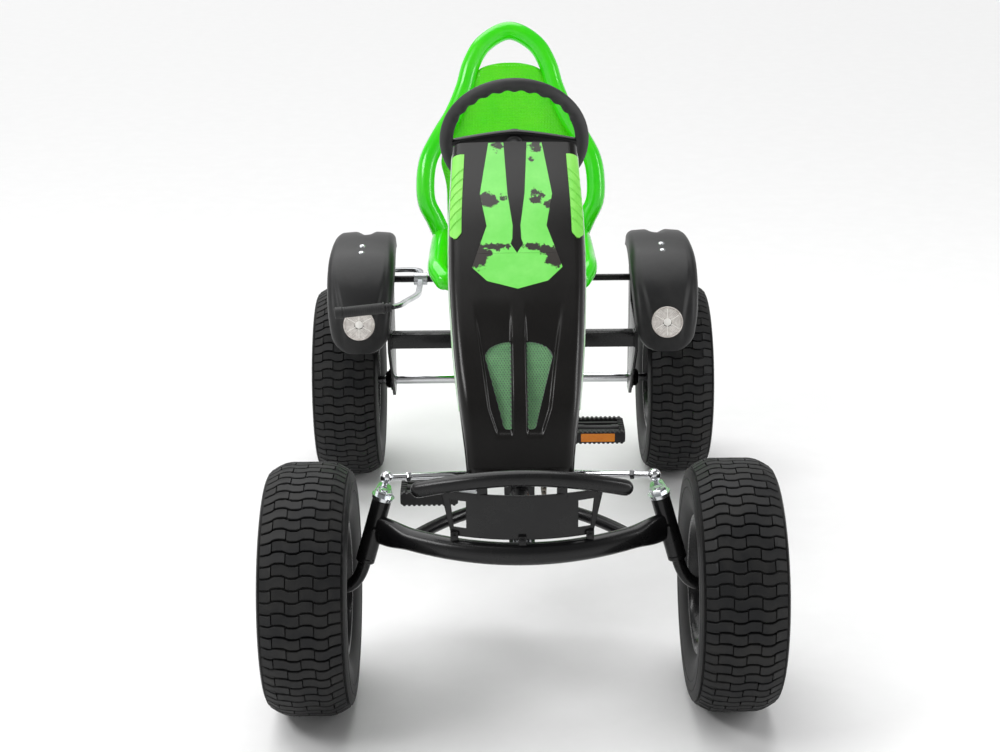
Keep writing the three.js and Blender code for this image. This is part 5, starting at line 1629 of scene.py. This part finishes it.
def toothed(mesh, centre, teeth, thickness, windows):
    """The toothed ring of a sprocket, as rings of faces round its middle; with windows its middle hole is left wide."""
    outline = sprocket_outline(teeth)
    count = len(outline)
    layers = []
    inner = 0.78 if windows else 0.55
    for x, scale in ((-thickness / 2, inner), (-thickness / 2, 0), (0, 0), (thickness / 2, 0), (thickness / 2, inner)):
        ring = []
        for a, b in outline:
            length = math.hypot(a, b)
            if scale:
                keep = scale * pitch_radius(teeth) / length
            else:
                keep = 1 if x == 0 else 0.985
            ring.append(centre + Vector((x, a * keep, b * keep)))
        layers.append(ring)
    mesh.rings(layers + [layers[0]], caps=False)


ring_at = Vector((chain_x, crank_at.y, crank_at.z))
chainring = Mesh()
toothed(chainring, ring_at, RING_TEETH, 0.003, True)
spider_radius = pitch_radius(RING_TEETH) * 0.79
for i in range(5):
    a = math.pi / 2 + i * 2 * math.pi / 5
    way = Vector((0, math.cos(a), math.sin(a)))
    chainring.swept([ring_at + way * 0.018, ring_at + way * spider_radius], squared(0.0075, 0.0015, 0.0005),
                    up=Vector((1, 0, 0)))
chainring.turned(ring_at - Vector((0.0105, 0, 0)), (1, 0, 0), [
    (0, 0.0089), (0, 0.025), (0.001, 0.026), (0.0120, 0.026), (0.013, 0.025), (0.013, 0.0089)], 44, closed=True)
chainring.make("chainring_toothed", zinc, "crank", "zinc", ("chainring",), smooth=30)

rear_ring_at = Vector((chain_x, rear_y, tyre_radius))
rear_ring = Mesh()
toothed(rear_ring, rear_ring_at, REAR_TEETH, 0.003, False)
rear_ring.turned(rear_ring_at - Vector((0.0105, 0, 0)), (1, 0, 0), [
    (0, 0.0104), (0, 0.019), (0.001, 0.020), (0.0120, 0.020), (0.013, 0.019), (0.013, 0.0104)], 40, closed=True)
rear_ring.make("rear_sprocket_toothed", zinc, "rear_axle", "zinc", ("rear_sprocket",), smooth=30)


def belt_line():
    """The line of the chain's pins, as (y, z) points from the lower run's start."""
    big, small = pitch_radius(RING_TEETH), pitch_radius(REAR_TEETH)
    dy, dz = rear_y - crank_at.y, tyre_radius - crank_at.z
    slope = math.atan2(dz, dy)
    wrap = math.acos((big - small) / math.hypot(dy, dz))
    points = []
    for centre, radius, start, end, steps in (
        ((rear_y, tyre_radius), small, slope - wrap, slope + wrap, 60),
        ((crank_at.y, crank_at.z), big, slope + wrap, slope - wrap + 2 * math.pi, 120),
    ):
        for a in np.linspace(start, end, steps):
            points.append(Vector((chain_x, centre[0] + radius * math.cos(a), centre[1] + radius * math.sin(a))))
    return points


belt = belt_line()
belt_length = sum((b - a).length for a, b in zip(belt, belt[1:] + belt[:1]))
links = round(belt_length / PITCH / 2) * 2
pins = evenly(belt, links, loop=True)
print("chain links", links, "pitch", round(belt_length / links / MM, 2), "mm")


def link_plate(mesh, first, second, x, thickness, tall):
    """A figure-of-eight plate between two pins."""
    along = (second - first).normalized()
    across = Vector((1, 0, 0)).cross(along)
    length = (second - first).length
    outline = []
    for i in range(16):
        t = i / 16 * 2 * math.pi
        a = tall * math.cos(t) + (length if math.cos(t) > 0 else 0)
        outline.append((a, tall * math.sin(t) * (1 if abs(math.cos(t)) > 0.3 else 0.8)))
    rings = [[first + along * a + across * b + Vector((x + d, 0, 0)) for a, b in outline]
             for d in (-thickness / 2, thickness / 2)]
    mesh.rings(rings)


chain = Mesh()
for i, pin in enumerate(pins):
    following = pins[(i + 1) % links]
    offset = 0.0033 if i % 2 else 0.0022
    for way in (-1, 1):
        link_plate(chain, pin, following, way * offset, 0.0009, 0.0041)
    chain.turned(pin - Vector((0.0038, 0, 0)), (1, 0, 0), [(0, 0), (0, 0.0017), (0.0018, 0.0017), (0.0018, 0.0038),
                                                         (0.0058, 0.0038), (0.0058, 0.0017), (0.0076, 0.0017),
                                                         (0.0076, 0)], 12)
chain.make("chain_links", chain_steel, "frame", "chain_steel", ("chain",), smooth=30, weld=False)

shaft_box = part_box("axle_shaft")
axle_end = shaft_box[1].x
shaft = Mesh().rod((shaft_box[0].x, rear_y, tyre_radius), (axle_end, rear_y, tyre_radius), 0.01, 36, 0.001)
for _, sign in SIDES:
    shaft.bolt(Vector((sign * (axle_end - 0.0125), rear_y, tyre_radius)), (sign, 0, 0), 0.0145, 0.009)
shaft.make("axle_shaft_polished", polished, "rear_axle", "zinc", ("axle_shaft",))

# %% [markdown]
# ## Hand brake
# The hand brake is a flat bent bar that turns on the fender rod. Its grip is a rubber sleeve with a ring at
# each end, and its other end presses a shoe on the right rear tyre.

# %% Brake lever
lever_turn = pivot("brake_pull")
brake_x = lever_turn.x if abs(lever_turn.x) > 0.05 else (tyre_half + 0.046 - fender_x)
grip_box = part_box("brake_grip")
grip_points = np.array([vertex.co for vertex in frame["nodes"]["brake_grip"].data.vertices])
grip_inner = Vector(grip_points[grip_points[:, 0] > grip_points[:, 0].max() - 0.004].mean(axis=0))
grip_outer = Vector(grip_points[grip_points[:, 0] < grip_points[:, 0].min() + 0.004].mean(axis=0))
lever = Mesh()
pivot_at = Vector((brake_x, rear_y, fender_rod_z))
path = [
    pivot_at + Vector((0, -0.008, 0)), pivot_at + Vector((0, -0.085, 0)), pivot_at + Vector((-0.002, -0.130, 0.003)),
    Vector((brake_x - 0.022, grip_inner.y + 0.080, fender_rod_z + 0.013)),
    Vector((brake_x - 0.030, grip_inner.y + 0.030, fender_rod_z + 0.021)), grip_inner + Vector((0.0006, 0, 0)),
]
lever.swept(evenly(spline(path, 20), 70), squared(0.0058, 0.0042, 0.0015), up=Vector((0, 0, 1)))
rear_path = [
    pivot_at + Vector((0, 0.008, 0)), pivot_at + Vector((-0.006, 0.052, 0.004)), pivot_at + Vector((-0.060, 0.066, 0.002)),
    Vector((-fender_x - 0.006, rear_y + 0.090, fender_rod_z - 0.002)),
]
lever.swept(evenly(spline(rear_path, 20), 50), squared(0.0056, 0.0042, 0.0015), up=Vector((0, 0, 1)))
lever.turned(pivot_at - Vector((0.014, 0, 0)), (1, 0, 0), [
    (0, 0.0076), (0, 0.0122), (0.0008, 0.013), (0.0272, 0.013), (0.028, 0.0122), (0.028, 0.0076)], 36, closed=True)
lever.make("brake_lever_bar", zinc, "brake", "zinc", ("brake_lever",), smooth=40)

shoe = Mesh()
shoe_middle = Vector((-fender_x - 0.010, rear_y + 0.096, 2 * tyre_radius + 0.012))
rings = []
for x in np.linspace(-0.035, 0.035, 13):
    section = [(0.015, 0.009), (-0.015, 0.009), (-0.015, -0.006)]
    section += [(a, -0.0088 + 0.0015 * (a / 0.015) ** 2) for a in np.linspace(-0.013, 0.013, 7)] + [(0.015, -0.006)]
    rings.append([shoe_middle + Vector((x, a, b)) for a, b in section])
shoe.rings(rings)
shoe.make("brake_shoe_pad", grip_black, "brake", "grip_black", bevel=0.001)

grip = Mesh()
way = (grip_outer - grip_inner).normalized()
length = (grip_outer - grip_inner).length
profile = [(0, 0), (0, 0.0086), (0.0006, 0.0092), (0.0040, 0.0092), (0.0046, 0.0076), (0.0060, 0.0076),
           (0.0066, 0.0092), (0.0100, 0.0092), (0.0106, 0.0076), (0.0125, 0.0076), (0.0132, 0.0108), (0.0140, 0.0115),
           (0.0165, 0.0115), (0.0172, 0.0104)]
for i in range(18):
    start = 0.0185 + i * (length - 0.0345) / 18
    profile += [(start, 0.0101), (start + 0.0006, 0.0106), (start + 0.0038, 0.0106), (start + 0.0044, 0.0101)]
profile += [(length - 0.0150, 0.0104), (length - 0.0142, 0.0115), (length - 0.0018, 0.0115), (length - 0.0004, 0.0104),
            (length, 0.0085), (length - 0.0012, 0.0072), (length - 0.0012, 0)]
grip.turned(grip_inner, way, profile, 36)
grip.make("brake_grip_sleeve", grip_black, "brake", "grip_black", ("brake_grip",), smooth=30)

# %% Finish
for node, cad in frame["nodes"].items():
    if not cad.hide_render:
        print("still shown:", node)
